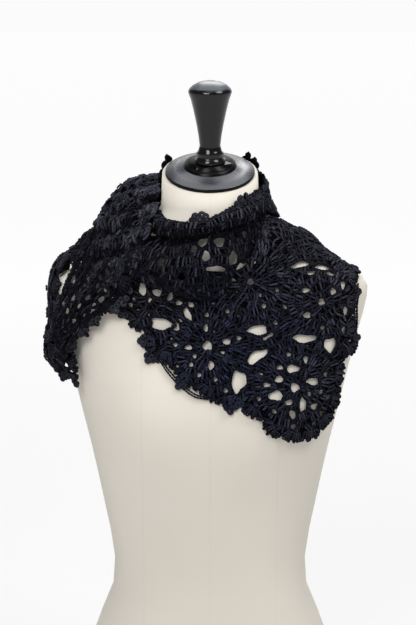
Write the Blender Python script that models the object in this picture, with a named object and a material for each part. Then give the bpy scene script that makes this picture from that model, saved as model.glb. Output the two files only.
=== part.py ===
"""A lacy crochet scarf wound round the neck and shoulders of a limbless dress form.

Metres, +Z up, the wearer's front along -Y. Every wall of cloth is a thin sheet laid over the form.
Flat coordinates: a sheet is drawn flat, with its outline and its gaps, then carried onto a surface.
"""

import math

import bpy
import numpy as np
from mathutils import Matrix, Vector, geometry
from mathutils.bvhtree import BVHTree

# Sizes of the cloth
CLOTH = 0.0030  # thickness of the crochet
CLEAR = 0.0008  # room kept between a layer and what lies under it
NEARBY = 0.020  # how far a layer is felt by the one laid over it
SCALLOP_PITCH = 0.0125  # one bump of the picot edging
SCALLOP_DEPTH = 0.0024

# Sizes of the form
NECK_CENTRE = 0.687  # height of the middle of the neck's sloping top
NECK_TILT = 20.0  # degrees that the top slopes down to the front
NECK_TURN = 7.0  # degrees that the knob leans forward
SEAT_GAP = 0.0003  # between the neck, its cap and the knob
FORM_SIDES = 48

FORM_ROWS = np.array([
    # height, half_width, front, back
    (0.000, 0.160, 0.103, 0.116),
    (0.050, 0.158, 0.102, 0.117),
    (0.100, 0.149, 0.095, 0.111),
    (0.141, 0.135, 0.088, 0.100),
    (0.170, 0.122, 0.083, 0.090),
    (0.200, 0.1165, 0.081, 0.083),
    (0.229, 0.119, 0.083, 0.083),
    (0.259, 0.124, 0.087, 0.085),
    (0.288, 0.130, 0.093, 0.088),
    (0.318, 0.136, 0.101, 0.091),
    (0.347, 0.142, 0.109, 0.094),
    (0.377, 0.149, 0.116, 0.097),
    (0.406, 0.156, 0.118, 0.099),
    (0.436, 0.163, 0.114, 0.101),
    (0.457, 0.168, 0.109, 0.102),
    (0.479, 0.174, 0.102, 0.102),
    (0.508, 0.181, 0.093, 0.100),
    (0.530, 0.187, 0.086, 0.097),
    (0.551, 0.190, 0.080, 0.092),
    (0.565, 0.183, 0.076, 0.089),
    (0.576, 0.160, 0.073, 0.086),
    (0.589, 0.140, 0.070, 0.082),
    (0.600, 0.124, 0.067, 0.078),
    (0.612, 0.106, 0.064, 0.073),
    (0.624, 0.087, 0.062, 0.068),
    (0.636, 0.069, 0.060, 0.063),
    (0.650, 0.059, 0.0575, 0.059),
    (0.665, 0.057, 0.057, 0.057),
    (0.700, 0.057, 0.057, 0.057),
])
BUST = {"side": 0.078, "height": 0.405, "spread_x": 0.050, "spread_z": 0.055, "depth": 0.016}

CAP_PROFILE = [
    # radius, height above the neck
    (0.0530, 0.0000), (0.0535, 0.0010), (0.0535, 0.0036), (0.0525, 0.0044), (0.0420, 0.0074),
    (0.0318, 0.0102), (0.0305, 0.0110), (0.0305, 0.0128), (0.0275, 0.0132), (0.0270, 0.0140),
    (0.0270, 0.0150),
]
KNOB_PROFILE = [
    # radius, height above the neck
    (0.0185, 0.0080), (0.0185, 0.0165), (0.0165, 0.0190), (0.0145, 0.0220), (0.0170, 0.0250),
    (0.0142, 0.0280), (0.0124, 0.0345), (0.0138, 0.0460), (0.0162, 0.0600), (0.0196, 0.0760),
    (0.0230, 0.0900), (0.0252, 0.0958), (0.0260, 0.0990), (0.0250, 0.1018), (0.0205, 0.1062),
    (0.0140, 0.1096), (0.0070, 0.1114),
]

# The chest panel, drawn flat: across from the middle, down from the line 0.50 m up
CHEST_OUTLINE = [
    # across, down (mm)
    (-108, -90), (-112, -67), (-108, -51), (-96, -30), (-89, -18), (-75, -12), (-72, 3), (-70, 15),
    (-61, 21), (-52, 21), (-30, 46), (-5, 60), (5, 69), (23, 71), (33, 67), (37, 76), (47, 84),
    (61, 92), (68, 106), (88, 113), (105, 116), (123, 112), (135, 101), (144, 93), (150, 73),
    (154, 44), (157, 27), (166, 21), (171, 12), (167, -12), (168, -42), (170, -61), (171, -90),
    (168, -140), (160, -152), (150, -174), (130, -184), (110, -195), (98, -203), (87, -204), (78, -186),
    (72, -165), (68, -150), (68, -132), (69, -116), (57, -106), (45, -96), (36, -86), (20, -82), (-10, -84),
    (-50, -86), (-85, -88),
]
CHEST_GAPS = [
    # across, down, width, height (mm), slant (degrees)
    (-3, 4, 9.7, 9.7, 0), (-25, 6, 8, 5, 0), (19, -1, 9, 6, 0), (1, 27, 6, 10, 0), (-5, -17, 4, 9, 0),
    (-18, 16, 4.5, 4.5, 0), (-22, 26, 4.5, 5, 0), (6, 43, 4.5, 5, 0), (33, -5, 5, 4.5, 0),
    (-40, 3, 5, 4.5, 0),
    (129, -43, 7, 7, 0),
    (95, 33, 14, 8, 0), (79, 45, 9, 7, 10), (97, 55, 9.5, 9.5, 0), (118, 49, 14, 7, -8),
    (75, 64, 15, 10, 0), (106, 75, 7, 15, 0), (90, 72, 9, 5, 10), (94, 86, 6, 10, 20), (128, 62, 5, 4.5, 0),
    (114, 63, 4.5, 4.5, 0), (120, 78, 9, 6, 10), (65, 51, 8, 5, 0), (56, 67, 4.5, 4.5, 0),
    (80, 31, 7, 4.5, 0), (110, 23, 4.5, 8, 0), (90, 16, 5, 4.5, 0), (95, 100, 6, 5, 0),
    (129, 88, 4.5, 5, 0), (120, 98, 4.5, 4.5, 0), (73, 82, 5, 4.5, 0), (137, 70, 4.5, 5, 0),
    (134, 42, 5, 4.5, 0),
    (-56, -21, 23, 12, -5), (-39, -18, 6, 9, 0), (-26, -33, 6, 15, 28), (55, -14, 21, 10, 0),
    (54, 17, 25, 10, 33), (33, 46, 15, 23, -8), (109, -2, 26, 8, -4), (130, -13, 5, 4.5, 0),
    (139, 8, 13, 15, 0), (104, -89, 22, 6, 15), (131, -85, 17, 8, -10), (117, -78, 9, 4.5, 0),
    (140, -76, 10, 5, -20), (111, -58, 9, 4.5, 0), (112, -29, 8, 6, 0), (143, -54, 6, 7, 0),
    (-47, -67, 13, 6, 10), (-78, -62, 7, 16, 0), (-61, -58, 10, 8, 0), (-46, -53, 5, 10, -20),
    (-36, -46, 7, 4.5, 0), (-22, -44, 7, 5, -30), (-4, -32, 5, 4.5, 0), (46, -70, 6.5, 6.5, 0),
    (-92, -58, 4.5, 8, 0), (-92, -42, 4.5, 5, 0), (62, -42, 4.5, 5, 0), (75, -22, 4.5, 4.5, 0),
    (155, -60, 4.5, 9, 0), (158, -30, 4.5, 10, 0), (156, -8, 4.5, 7, 0), (95, -108, 5, 4.5, 0),
    (77, -60, 4.5, 4.5, 0), (86, -40, 4.5, 4.5, 0), (20, -36, 4.5, 4.5, 0),
    (-13, 38, 4.5, 5, 0), (18, 56, 5, 4.5, 0),
]
CHEST_PUFFS = [
    # across, down, spread_across, spread_down, height (mm)
    (45, -96, 22, 18, 16), (66, -120, 20, 22, 13), (22, -80, 26, 16, 6),
    (112, -152, 20, 30, 6),
]
CHEST_FOLDS = [
    # from_across, from_down, to_across, to_down, width, height (mm)
    (70, -110, 20, -20, 13, 3.0), (95, -110, 70, -20, 12, 2.4), (-40, -80, -60, -10, 12, 2.2),
    (128, -95, 118, -10, 13, 2.0), (30, 20, 60, 90, 12, 1.6), (-20, -60, 10, 60, 12, 1.5),
]

# The back panel, drawn flat the same way but down from the shoulder line
BACK_OUTLINE = [
    # across, down (mm)
    (172, -54), (171, -62), (164, -78), (152, -92), (120, -108), (85, -126), (50, -142), (18, -152),
    (-18, -154), (-50, -146), (-85, -132), (-115, -116), (-136, -92), (-142, -60), (-134, -36),
    (-104, -27), (-88, -34), (-72, -48), (-50, -58), (-24, -62), (0, -63), (24, -62), (50, -58), (72, -54),
    (86, -46), (98, -37), (130, -38), (155, -46),
]
BACK_FOLDS = [(-130, -50, 20, -125, 14, 2.6), (130, -50, 0, -100, 14, 2.6), (-60, -70, 60, -72, 14, 2.0)]

# Rings round the neck: azimuth (270 is the front), then radius and height at each stop down the wall
COWL_STOPS = ("edge", "upper_roll", "hollow", "lower_roll", "bottom", "tuck")
COWL_RINGS = [
    (198, 63, 648, 69, 642, 84, 636, 103, 631, 116, 625, 118, 618),
    (210, 66.0, 641, 73, 634, 83, 620, 113, 610, 119, 596, 114, 588),
    (222, 66.3, 634, 78, 628, 87, 611, 115, 590, 118, 574, 112, 567),
    (245, 64.2, 633, 79, 626, 84, 607, 108, 578, 108, 563, 99, 557),
    (270, 62.5, 640, 78, 630, 82, 609, 101, 576, 100, 557, 90, 551),
    (284, 62.5, 648, 78, 636, 82, 611, 97, 580, 98, 561, 90, 555),
    (296, 63, 653, 78, 639, 81, 614, 88, 592, 90, 578, 88, 570),
    (312, 64, 659, 77, 645, 80, 622, 83, 605, 85, 592, 85, 585),
    (330, 65, 665, 73, 650, 75, 632, 77, 620, 78, 611, 78, 604),
    (346, 65, 669, 70, 655, 73, 645, 75, 640, 77, 634, 77, 630),
]
COWL_OUTLINE = [
    # azimuth, stop
    (203, 0.0), (222, 0.0), (245, 0.0), (268, 0.0), (290, 0.0), (312, 0.0), (331, 0.0), (332, 0.8),
    (325, 1.7), (317, 2.35), (308, 2.8), (299, 2.95), (291, 2.85), (285, 3.2),
    (280, 4.0), (275, 4.8), (268, 5.0), (258, 4.9), (248, 4.6), (238, 4.3), (228, 4.1), (220, 4.0),
    (214, 3.7), (209, 3.0), (205, 2.0), (202, 1.0),
]
COWL_GAPS = [
    # azimuth, stop, width, height (mm), slant
    (264, 1.72, 10, 6, 10), (277.5, 1.8, 10, 6, -8), (245, 2.0, 4.5, 5, 0), (257, 2.0, 5, 5, 0),
    (267, 2.3, 6, 5, 0), (274, 2.8, 14, 5.5, -4), (287, 2.5, 8, 6.5, 0), (236, 2.6, 5, 4.5, 0),
    (252, 3.0, 5, 4.5, 0), (240, 3.5, 5, 4.5, 0), (262, 3.6, 5, 4.5, 0), (300, 1.7, 5, 4.5, 0),
    (232, 1.2, 5, 4.5, 0),
]
COLLAR_STOPS = ("edge", "middle", "low", "foot")
COLLAR_RINGS = [
    (318, 60.8, 662, 61, 657, 62, 650, 64, 643),
    (334, 61.5, 668, 63, 662, 65, 655, 67, 648),
    (348, 66, 671, 68, 663, 71, 653, 76, 640),
    (360, 67, 676, 69, 666, 72, 653, 80, 636),
    (390, 67, 686, 70, 671, 75, 650, 88, 625),
    (420, 66.5, 694, 71, 674, 78, 644, 90, 613),
    (450, 66.5, 698, 72, 674, 79, 640, 94, 599),
    (480, 66, 696, 71, 674, 78, 644, 91, 614),
    (510, 64, 690, 67, 675, 71, 660, 77, 645),
    (532, 62.5, 682, 63, 674, 65, 665, 68, 656),
]
COLLAR_OUTLINE = [
    (320, 0), (340, 0), (362, 0), (390, 0), (420, 0), (450, 0), (480, 0), (496, 0), (500, 1.5),
    (496, 3), (475, 3), (450, 3), (420, 3), (390, 3), (362, 3), (340, 3), (320, 3), (319, 1.5),
]

# The bundle over the wearer's right shoulder: stations from the neck to the hanging tip
BUNDLE_STOPS = ("front_edge", "front", "crest", "rear", "behind")
BUNDLE_ROWS = [
    # x, y, z at each stop (mm)
    (-66, -38, 643, -62, -10, 662, -63, 20, 675, -58, 46, 680, -50, 66, 668),
    (-74, -58, 624, -81, -31, 651, -88, 10, 671, -88, 50, 662, -84, 78, 632),
    (-80, -77, 598, -95, -50, 631, -108, 0, 652, -114, 42, 638, -112, 78, 602),
    (-87, -92, 576, -107, -59, 604, -124, -10, 627, -134, 28, 614, -138, 60, 597),
    (-97, -92, 556, -118, -68, 584, -136, -22, 605, -149, 8, 606, -155, 32, 602),
    (-111, -90, 543, -130, -76, 560, -150, -42, 576, -162, -18, 590, -168, 10, 594),
    (-140, -81, 521, -154, -74, 534, -168, -55, 549, -178, -36, 557, -185, -14, 561),
    (-158, -74, 500, -170, -68, 508, -181, -58, 516, -189, -44, 520, -195, -28, 522),
    (-174, -74, 475, -183, -69, 481, -190, -61, 487, -195, -50, 490, -199, -38, 492),
]
BUNDLE_PLEATS = [
    # middle across, width across (0 to 4), height (mm)
    (0.30, 0.20, 8.0), (0.95, 0.22, 11.0), (1.60, 0.21, 9.0), (2.30, 0.26, 8.0), (3.1, 0.32, 6.0),
]
BUNDLE_OUTLINE = [
    # along (0 to 8), across (0 to 4)
    (0.0, 0.0), (1, 0), (2, 0), (3, 0), (4, 0), (5, 0), (6, 0), (7, 0), (8, 0), (8.0, 1.2),
    (7.8, 2.1), (7, 2.2),
    (6, 2.35), (5.2, 2.7), (4.4, 3.5), (3.7, 3.95), (3, 4), (2, 4), (1, 4), (0.0, 4.0), (0, 2),
]
BUNDLE_GAPS = [
    # along, across, width, height (mm), slant
    (5.47, 2.10, 5.5, 4.5, 0), (5.00, 1.55, 5.5, 4.0, 0), (4.87, 0.95, 6, 4.0, 0), (6.33, 1.45, 4.5, 5, 0),
    (6.37, 0.78, 5, 5.5, 0), (7.03, 0.93, 5, 8, 0), (4.13, 0.83, 6, 3.2, 0), (5.43, 0.95, 5, 4.5, 0),
    (4.90, 2.18, 4.5, 4, 0), (4.30, 1.50, 5, 3.2, 0), (5.83, 1.00, 4.5, 5, 0), (7.50, 1.13, 5, 8, 0),
    (5.63, 0.40, 4.5, 5.5, 0), (5.17, 0.55, 5, 4.5, 0), (5.23, 2.60, 4.5, 4.5, 0), (6.3, 1.9, 5, 7, 0),
    (7.4, 1.65, 6, 5, 0), (4.5, 0.5, 5, 4.5, 0), (5.85, 1.5, 5, 4.5, 0), (6.8, 1.55, 4.5, 4.5, 0),
]

# The end that comes over from the back and hangs outside the shoulder
END_STOPS = ("front_edge", "side", "back_edge")
END_ROWS = [
    (-133, -12, 607, -143, 20, 606, -130, 62, 594),
    (-151, -16, 594, -166, 12, 595, -156, 60, 586),
    (-172, -18, 582, -185, 12, 580, -171, 58, 571),
    (-182, -28, 556, -194, 8, 554, -184, 57, 545),
    (-177, -48, 515, -195, -2, 512, -180, 52, 505),
    (-160, -66, 478, -199, -20, 474, -184, 38, 474),
    (-157, -66, 448, -182, -44, 457, -190, -2, 462),
]
END_OUTLINE = [
    # along (0 to 6), across (0 to 2)
    (0, 0), (1, 0), (2, 0), (3, 0), (4, 0), (5, 0), (6, 0), (6, 1), (6, 2), (5, 2), (4, 2), (3, 2), (2, 2),
    (1, 2), (0, 2), (0, 1),
]
END_GAPS = [
    (3.73, 0.36, 4, 5, 0), (4.15, 0.66, 4, 6, 0), (4.83, 0.40, 4.5, 4.5, 0), (5.40, 0.30, 5, 4.5, 0),
    (3.2, 0.5, 4, 6, 0), (4.40, 0.32, 4, 4.5, 0), (5.3, 0.75, 5, 4.5, 0), (4.75, 0.85, 4.5, 5, 0),
    (3.6, 0.95, 4.5, 6, 0), (5.5, 1.25, 5, 5, 0), (4.9, 1.4, 5, 5, 0), (4.3, 1.35, 5, 5, 0),
]


def curve(xs, ys, x):
    """Monotone cubic through the points: no overshoot between rows."""
    xs, ys, x = (np.asarray(a, float) for a in (xs, ys, x))
    h = np.diff(xs)
    d = np.diff(ys) / h
    m = np.zeros_like(ys)
    w1, w2 = 2 * h[1:] + h[:-1], h[1:] + 2 * h[:-1]
    with np.errstate(divide="ignore", invalid="ignore"):
        mid = (w1 + w2) / (w1 / d[:-1] + w2 / d[1:])
    m[1:-1] = np.where(d[1:] * d[:-1] > 0, mid, 0)
    m[0], m[-1] = d[0], d[-1]
    i = np.clip(np.searchsorted(xs, x) - 1, 0, len(h) - 1)
    t = (x - xs[i]) / h[i]
    return (
        (1 + 2 * t) * (1 - t) ** 2 * ys[i]
        + t * (1 - t) ** 2 * h[i] * m[i]
        + t * t * (3 - 2 * t) * ys[i + 1]
        + t * t * (t - 1) * h[i] * m[i + 1]
    )


def form_row(z, column):
    return curve(FORM_ROWS[:, 0], FORM_ROWS[:, column], np.clip(z, 0, 0.70))


def power(z):
    """Roundness of a level section: squarer at the chest, a true circle at the neck."""
    return 2.25 - 0.25 * np.clip((z - 0.60) / 0.05, 0, 1)


def chord(x, z):
    p = power(z)
    return np.clip(1 - (np.abs(x) / form_row(z, 1)) ** p, 0, 1) ** (1 / p)


def bust(x, z):
    across = (np.abs(x) - BUST["side"]) / BUST["spread_x"]
    up = (z - BUST["height"]) / BUST["spread_z"]
    return BUST["depth"] * np.exp(-(across**2) - up**2)


def front_y(x, z):
    c = chord(x, z)
    return -form_row(z, 2) * c - bust(x, z) * np.minimum(1, 2 * c)


def back_y(x, z):
    return form_row(z, 3) * chord(x, z)


# The draped surface: columns across, arc length down the front (plus) and the back (minus)
YOKE_TOP, YOKE_FOOT, YOKE_HALF = 0.640, 0.600, 0.069
HEM, STEP, REACH = 0.29, 0.002, 0.40
COLUMNS = np.linspace(-0.200, 0.200, 101)
LEVEL = 0.50


def ridge(x):
    z = np.linspace(0.551, 0.636, 300)
    top = YOKE_TOP - (YOKE_TOP - 0.636) * (x / YOKE_HALF) ** 2
    return top if abs(x) < YOKE_HALF else float(np.interp(abs(x), form_row(z, 1)[::-1], z[::-1]))


def fall(x, wall, keep):
    """One column of cloth: it follows the wall out and down, and hangs straight where that turns in."""
    x = min(abs(x), 0.1895)
    z = ridge(x) - (ridge(x) - HEM) * np.linspace(0, 1, 300) ** 2
    y = wall(np.full_like(z, x), z)
    if x < YOKE_HALF:
        y = np.where(z > YOKE_FOOT, y * np.clip((YOKE_TOP - z) / (YOKE_TOP - YOKE_FOOT), 0, 1) ** 0.5, y)
    y = keep(y)
    arc = np.concatenate([[0], np.cumsum(np.hypot(np.diff(y), np.diff(z)))])
    s = np.arange(0, REACH, STEP)
    return np.interp(s, arc, y), np.interp(s, arc, z)


def drape_table():
    rows = []
    for x in COLUMNS:
        fy, fz = fall(x, front_y, np.minimum.accumulate)
        by, bz = fall(x, back_y, np.maximum.accumulate)
        rows.append((np.concatenate([by[:0:-1], fy]), np.concatenate([bz[:0:-1], fz])))
    table = np.array(rows)
    weights = np.array([1, 2, 3, 4, 5, 4, 3, 2, 1]) / 25
    for _ in range(2):
        for k in (0, 1):
            padded = np.pad(table[:, k], ((1, 1), (4, 4)), mode="edge")
            along = sum(padded[:, i : i + table.shape[2]] * w for i, w in enumerate(weights))
            table[:, k] = (along[:-2] + 2 * along[1:-1] + along[2:]) / 4
    return table[:, 0], table[:, 1]


DRAPE_Y, DRAPE_Z = drape_table()
SHOULDER = len(np.arange(0, REACH, STEP)) - 1
LEVEL_AT = np.array([
    np.interp(-LEVEL, -row[SHOULDER:], np.arange(len(row) - SHOULDER) * STEP) for row in DRAPE_Z
])


def drape(flat):
    """Across and down from the shoulder line to a point on the draped surface."""
    u, v = flat[:, 0], flat[:, 1]
    fu = np.clip((u - COLUMNS[0]) / (COLUMNS[1] - COLUMNS[0]), 0, len(COLUMNS) - 1.001)
    fv = np.clip(v / STEP + SHOULDER, 0, DRAPE_Y.shape[1] - 1.001)
    i, j = fu.astype(int), fv.astype(int)
    a, b = fu - i, fv - j

    def read(t):
        near, far = (t[k, j] * (1 - b) + t[k, j + 1] * b for k in (i, i + 1))
        return near * (1 - a) + far * a

    return np.stack([u, read(DRAPE_Y), read(DRAPE_Z)], 1)


def facing(surface, flat, step=0.002):
    """Unit normals that point away from the middle of the body."""
    du = surface(flat + [step, 0]) - surface(flat - [step, 0])
    dv = surface(flat + [0, step]) - surface(flat - [0, step])
    n = np.cross(du, dv)
    n /= np.maximum(np.linalg.norm(n, axis=1), 1e-12)[:, None]
    p = surface(flat)
    out = p * [1, 1, 0.6] - [0, 0, 0.6 * 0.52]
    return n * (1 if (n * out).sum() > 0 else -1)


def puffs(flat, table):
    h = np.zeros(len(flat))
    for across, down, wide, tall, height in table:
        u, v = (flat[:, 0] * 1000 - across) / wide, (flat[:, 1] * 1000 - down) / tall
        h += 0.001 * height * np.exp(-(u**2) - v**2)
    return h


def folds(flat, table):
    """Soft ridges along straight lines in the flat cloth, fading at their ends."""
    h = np.zeros(len(flat))
    for x0, y0, x1, y1, wide, height in table:
        start, line = np.array([x0, y0]) / 1000, np.array([x1 - x0, y1 - y0]) / 1000
        length = np.hypot(*line)
        along = (flat - start) @ line / length**2
        side = ((flat - start) @ np.array([-line[1], line[0]])) / length
        ends = np.clip((along + 0.15) / 0.3, 0, 1) * np.clip((1.15 - along) / 0.3, 0, 1)
        h += 0.001 * height * np.exp(-((side * 1000 / wide) ** 2)) * ends
    return h


def lifted(base, height):
    def surface(flat):
        return base(flat) + facing(base, flat) * height(flat)[:, None]

    return surface


def level_drape(flat):
    return drape(np.stack([flat[:, 0], flat[:, 1] + np.interp(flat[:, 0], COLUMNS, LEVEL_AT)], 1))


UNDER = CLOTH / 2 + CLEAR
chest = lifted(level_drape, lambda f: UNDER + puffs(f, CHEST_PUFFS) + folds(f, CHEST_FOLDS))
back = lifted(drape, lambda f: UNDER + folds(f, BACK_FOLDS))


def ring_surface(rings, turn_radius, stop_length):
    """A wall round the neck. Flat: metres round at turn_radius, metres down with stop_length a stop."""
    rings = np.array(rings, float)
    azimuth, r, z = rings[:, 0], rings[:, 1::2] / 1000, rings[:, 2::2] / 1000
    stops = np.arange(r.shape[1])

    def surface(flat):
        a = np.clip(np.degrees(flat[:, 0] / turn_radius), azimuth[0], azimuth[-1])
        t = np.clip(flat[:, 1] / stop_length, 0, stops[-1])
        rs = np.stack([curve(azimuth, r[:, k], a) for k in stops], 1)
        zs = np.stack([curve(azimuth, z[:, k], a) for k in stops], 1)
        radius, height = (hermite(column, t) for column in (rs, zs))
        return np.stack([radius * np.cos(np.radians(a)), radius * np.sin(np.radians(a)), height], 1)

    return surface


def hermite(table, t):
    """Smooth reading of each row of the table at its own t (0 to the last column)."""
    i = np.clip(t.astype(int), 0, table.shape[1] - 2)
    f = t - i
    rows = np.arange(len(t))
    m = np.gradient(table, axis=1)
    p0, p1, m0, m1 = table[rows, i], table[rows, i + 1], m[rows, i], m[rows, i + 1]
    start = (1 + 2 * f) * (1 - f) ** 2 * p0 + f * (1 - f) ** 2 * m0
    return start + f * f * (3 - 2 * f) * p1 + f * f * (f - 1) * m1


def loft_surface(rows, along_length, across_length):
    """A surface through rows of points. Flat: metres along, metres across."""
    points = np.array(rows, float).reshape(len(rows), -1, 3) / 1000

    def surface(flat):
        a = np.clip(flat[:, 0] / along_length, 0, points.shape[0] - 1)
        b = np.clip(flat[:, 1] / across_length, 0, points.shape[1] - 1)
        out = []
        for k in range(3):
            columns = [hermite(np.tile(points[:, j, k], (len(a), 1)), a) for j in range(points.shape[1])]
            table = np.stack(columns, 1)
            out.append(hermite(table, b))
        return np.stack(out, 1)

    return surface


COWL_TURN, COWL_DOWN = 0.090, 0.022
COLLAR_TURN, COLLAR_DOWN = 0.070, 0.022
BUNDLE_ALONG, BUNDLE_ACROSS = 0.029, 0.031
END_ALONG, END_ACROSS = 0.028, 0.040
cowl = ring_surface(COWL_RINGS, COWL_TURN, COWL_DOWN)
collar = ring_surface(COLLAR_RINGS, COLLAR_TURN, COLLAR_DOWN)
bundle_base = loft_surface(BUNDLE_ROWS, BUNDLE_ALONG, BUNDLE_ACROSS)
end_cloth = loft_surface(END_ROWS, END_ALONG, END_ACROSS)


def pleats(flat):
    across = flat[:, 1] / BUNDLE_ACROSS
    along = flat[:, 0] / BUNDLE_ALONG
    fade = np.clip(along / 1.2, 0, 1) * np.clip((8 - along) / 3, 0.15, 1)
    h = sum(height * np.exp(-(((across - middle) / wide) ** 2)) for middle, wide, height in BUNDLE_PLEATS)
    return 0.001 * h * fade


bundle = lifted(bundle_base, pleats)


def smooth_loop(points, step):
    """A closed curve through the points, cut into equal steps."""
    p = np.array(points, float)
    fine = []
    for i in range(len(p)):
        p0, p1, p2, p3 = p[i - 1], p[i], p[(i + 1) % len(p)], p[(i + 2) % len(p)]
        for t in np.linspace(0, 1, 12, endpoint=False):
            bend = (2 * p0 - 5 * p1 + 4 * p2 - p3) * t**2 + (3 * p1 - p0 - 3 * p2 + p3) * t**3
            fine.append(0.5 * (2 * p1 + (p2 - p0) * t + bend))
    fine = np.array(fine + fine[:1])
    arc = np.concatenate([[0], np.cumsum(np.linalg.norm(np.diff(fine, axis=0), axis=1))])
    count = max(8, int(round(arc[-1] / step / 4)) * 4)
    s = np.arange(count) * arc[-1] / count
    return np.stack([np.interp(s, arc, fine[:, k]) for k in (0, 1)], 1)


def area(loop):
    nxt = np.roll(loop, -1, 0)
    return 0.5 * float((loop[:, 0] * nxt[:, 1] - loop[:, 1] * nxt[:, 0]).sum())


def scalloped(points, depth=SCALLOP_DEPTH, pitch=SCALLOP_PITCH):
    """The outline with its picot bumps: four steps to a bump."""
    loop = smooth_loop(points, pitch / 4)
    ahead, behind = np.roll(loop, -1, 0), np.roll(loop, 1, 0)
    t = ahead - behind
    out = np.stack([t[:, 1], -t[:, 0]], 1) / np.linalg.norm(t, axis=1)[:, None]
    out *= 1 if area(loop) > 0 else -1
    return loop + out * (depth * np.abs(np.sin(np.arange(len(loop)) * math.pi / 4)))[:, None]


def inside(loop, points):
    x, y = points[:, 0][:, None], points[:, 1][:, None]
    x0, y0 = loop[:, 0], loop[:, 1]
    x1, y1 = np.roll(x0, -1), np.roll(y0, -1)
    crosses = (y0 > y) != (y1 > y)
    with np.errstate(divide="ignore", invalid="ignore"):
        at = x0 + (y - y0) * (x1 - x0) / (y1 - y0)
    return (crosses & (x < at)).sum(1) % 2 == 1


def gap_loop(x, y, width, height, slant):
    sides = 6 if max(width, height) < 8 else 8 if max(width, height) < 16 else 10
    a = 2 * math.pi * (np.arange(sides) + 0.5) / sides
    p = np.stack([width / 2 * np.cos(a), height / 2 * np.sin(a)], 1)
    s, c = math.sin(math.radians(-slant)), math.cos(math.radians(-slant))
    return np.array([x, y]) + p @ np.array([[c, s], [-s, c]])


def clear_gaps(outline, gaps, margin=0.0022):
    """The gaps that leave a real strand of cloth round them, largest first."""
    kept = []
    for gap in sorted(gaps, key=lambda g: -abs(area(g))):
        others = [outline, *kept]
        near = min(float(np.linalg.norm(gap[:, None] - o[None], axis=2).min()) for o in others)
        if inside(outline, gap).all() and near > margin and not any(inside(k, gap).any() for k in kept):
            kept.append(gap)
    return kept


def triangulate(outline, gaps, spacing, stretch):
    """Flat triangles, longer by stretch across than down, so that rolls get closer rows."""
    outline, gaps = outline / [stretch, 1], [g / [stretch, 1] for g in gaps]
    loops = [outline, *gaps]
    low, high = outline.min(0), outline.max(0)
    rows = np.arange(low[1], high[1], spacing * 0.866)
    inner = np.array([
        (x, y)
        for k, y in enumerate(rows)
        for x in np.arange(low[0] + (k % 2) * spacing / 2, high[0], spacing)
    ])
    keep = inside(outline, inner)
    for gap in gaps:
        keep &= ~inside(gap, inner)
    inner = inner[keep]
    rim = np.concatenate(loops)
    inner = inner[np.linalg.norm(inner[:, None] - rim[None], axis=2).min(1) > 0.5 * spacing]
    edges, start = [], 0
    for loop in loops:
        n = len(loop)
        edges += [(start + i, start + (i + 1) % n) for i in range(n)]
        start += n
    points = np.concatenate([rim, inner])
    verts, _, faces, *_ = geometry.delaunay_2d_cdt([Vector(p) for p in points], edges, [], 0, 1e-7)
    flat = np.array([(v.x, v.y) for v in verts])
    faces = np.array([f for f in faces if len(f) == 3])
    middle = flat[faces].mean(1)
    keep = inside(outline, middle)
    for gap in gaps:
        keep &= ~inside(gap, middle)
    faces = faces[keep]
    used = np.unique(faces)
    remap = np.full(len(flat), -1)
    remap[used] = np.arange(len(used))
    return flat[used] * [stretch, 1], remap[faces]


def tree_of(points, faces):
    return BVHTree.FromPolygons([Vector(p) for p in points], [tuple(f) for f in faces])


def laid_over(points, normals, faces, trees, need):
    """Moves a sheet out along its normals until it clears what lies under it, and evens the move out."""
    pairs = np.concatenate([faces[:, [0, 1]], faces[:, [1, 2]], faces[:, [2, 0]]])
    edges = np.unique(np.sort(pairs, axis=1), axis=0)
    move = np.zeros(len(points))
    for _ in range(14):
        now = points + normals * move[:, None]
        short = np.zeros(len(points))
        probes = [(p, n, (k,)) for k, (p, n) in enumerate(zip(now, normals))]
        probes += [(now[f].mean(0), normals[f].mean(0), tuple(f)) for f in faces]
        for p, n, owners in probes:
            spot = Vector(p)
            for tree in trees:
                at, normal, _, distance = tree.find_nearest(spot, NEARBY)
                if at is None or normal.dot(Vector(n)) < 0.1:
                    continue
                room = (spot - at).dot(normal)
                if room < need and abs(room) > 0.5 * distance:
                    for k in owners:
                        short[k] = max(short[k], need - room)
        move += short
        total, count = np.zeros(len(points)), np.zeros(len(points))
        for a, b in ((0, 1), (1, 0)):
            np.add.at(total, edges[:, a], move[edges[:, b]])
            np.add.at(count, edges[:, a], 1)
        even = total / np.maximum(count, 1)
        move = np.maximum(move, 0.92 * even)
        if short.max() < 1e-5:
            break
    return points + normals * move[:, None]


def closed_sheet(points, normals, faces, thickness):
    """Both faces of the cloth and the rim between them."""
    n = len(points)
    d1, d2 = points[faces[:, 1]] - points[faces[:, 0]], points[faces[:, 2]] - points[faces[:, 0]]
    if (np.cross(d1, d2) * normals[faces[:, 0]]).sum() < 0:
        faces = faces[:, ::-1]
    outer, inner = points + normals * thickness / 2, points - normals * thickness / 2
    half = np.concatenate([faces[:, [0, 1]], faces[:, [1, 2]], faces[:, [2, 0]]])
    taken = set(map(tuple, half))
    rims = [(a, b) for a, b in half if (b, a) not in taken]
    quads = [(b, a, a + n, b + n) for a, b in rims]
    sides = [tuple(map(int, f)) for f in faces] + [tuple(int(i) + n for i in f[::-1]) for f in faces]
    return np.concatenate([outer, inner]), sides + [tuple(map(int, q)) for q in quads]


def add_object(name, points, faces, material, sharp=40):
    mesh = bpy.data.meshes.new(name)
    mesh.from_pydata([tuple(map(float, p)) for p in points], [], [tuple(map(int, f)) for f in faces])
    mesh.validate()
    mesh.update()
    mesh.shade_smooth()
    mesh.set_sharp_from_angle(angle=math.radians(sharp))
    mesh.materials.append(material)
    obj = bpy.data.objects.new(name, mesh)
    bpy.context.scene.collection.objects.link(obj)
    return obj


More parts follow.
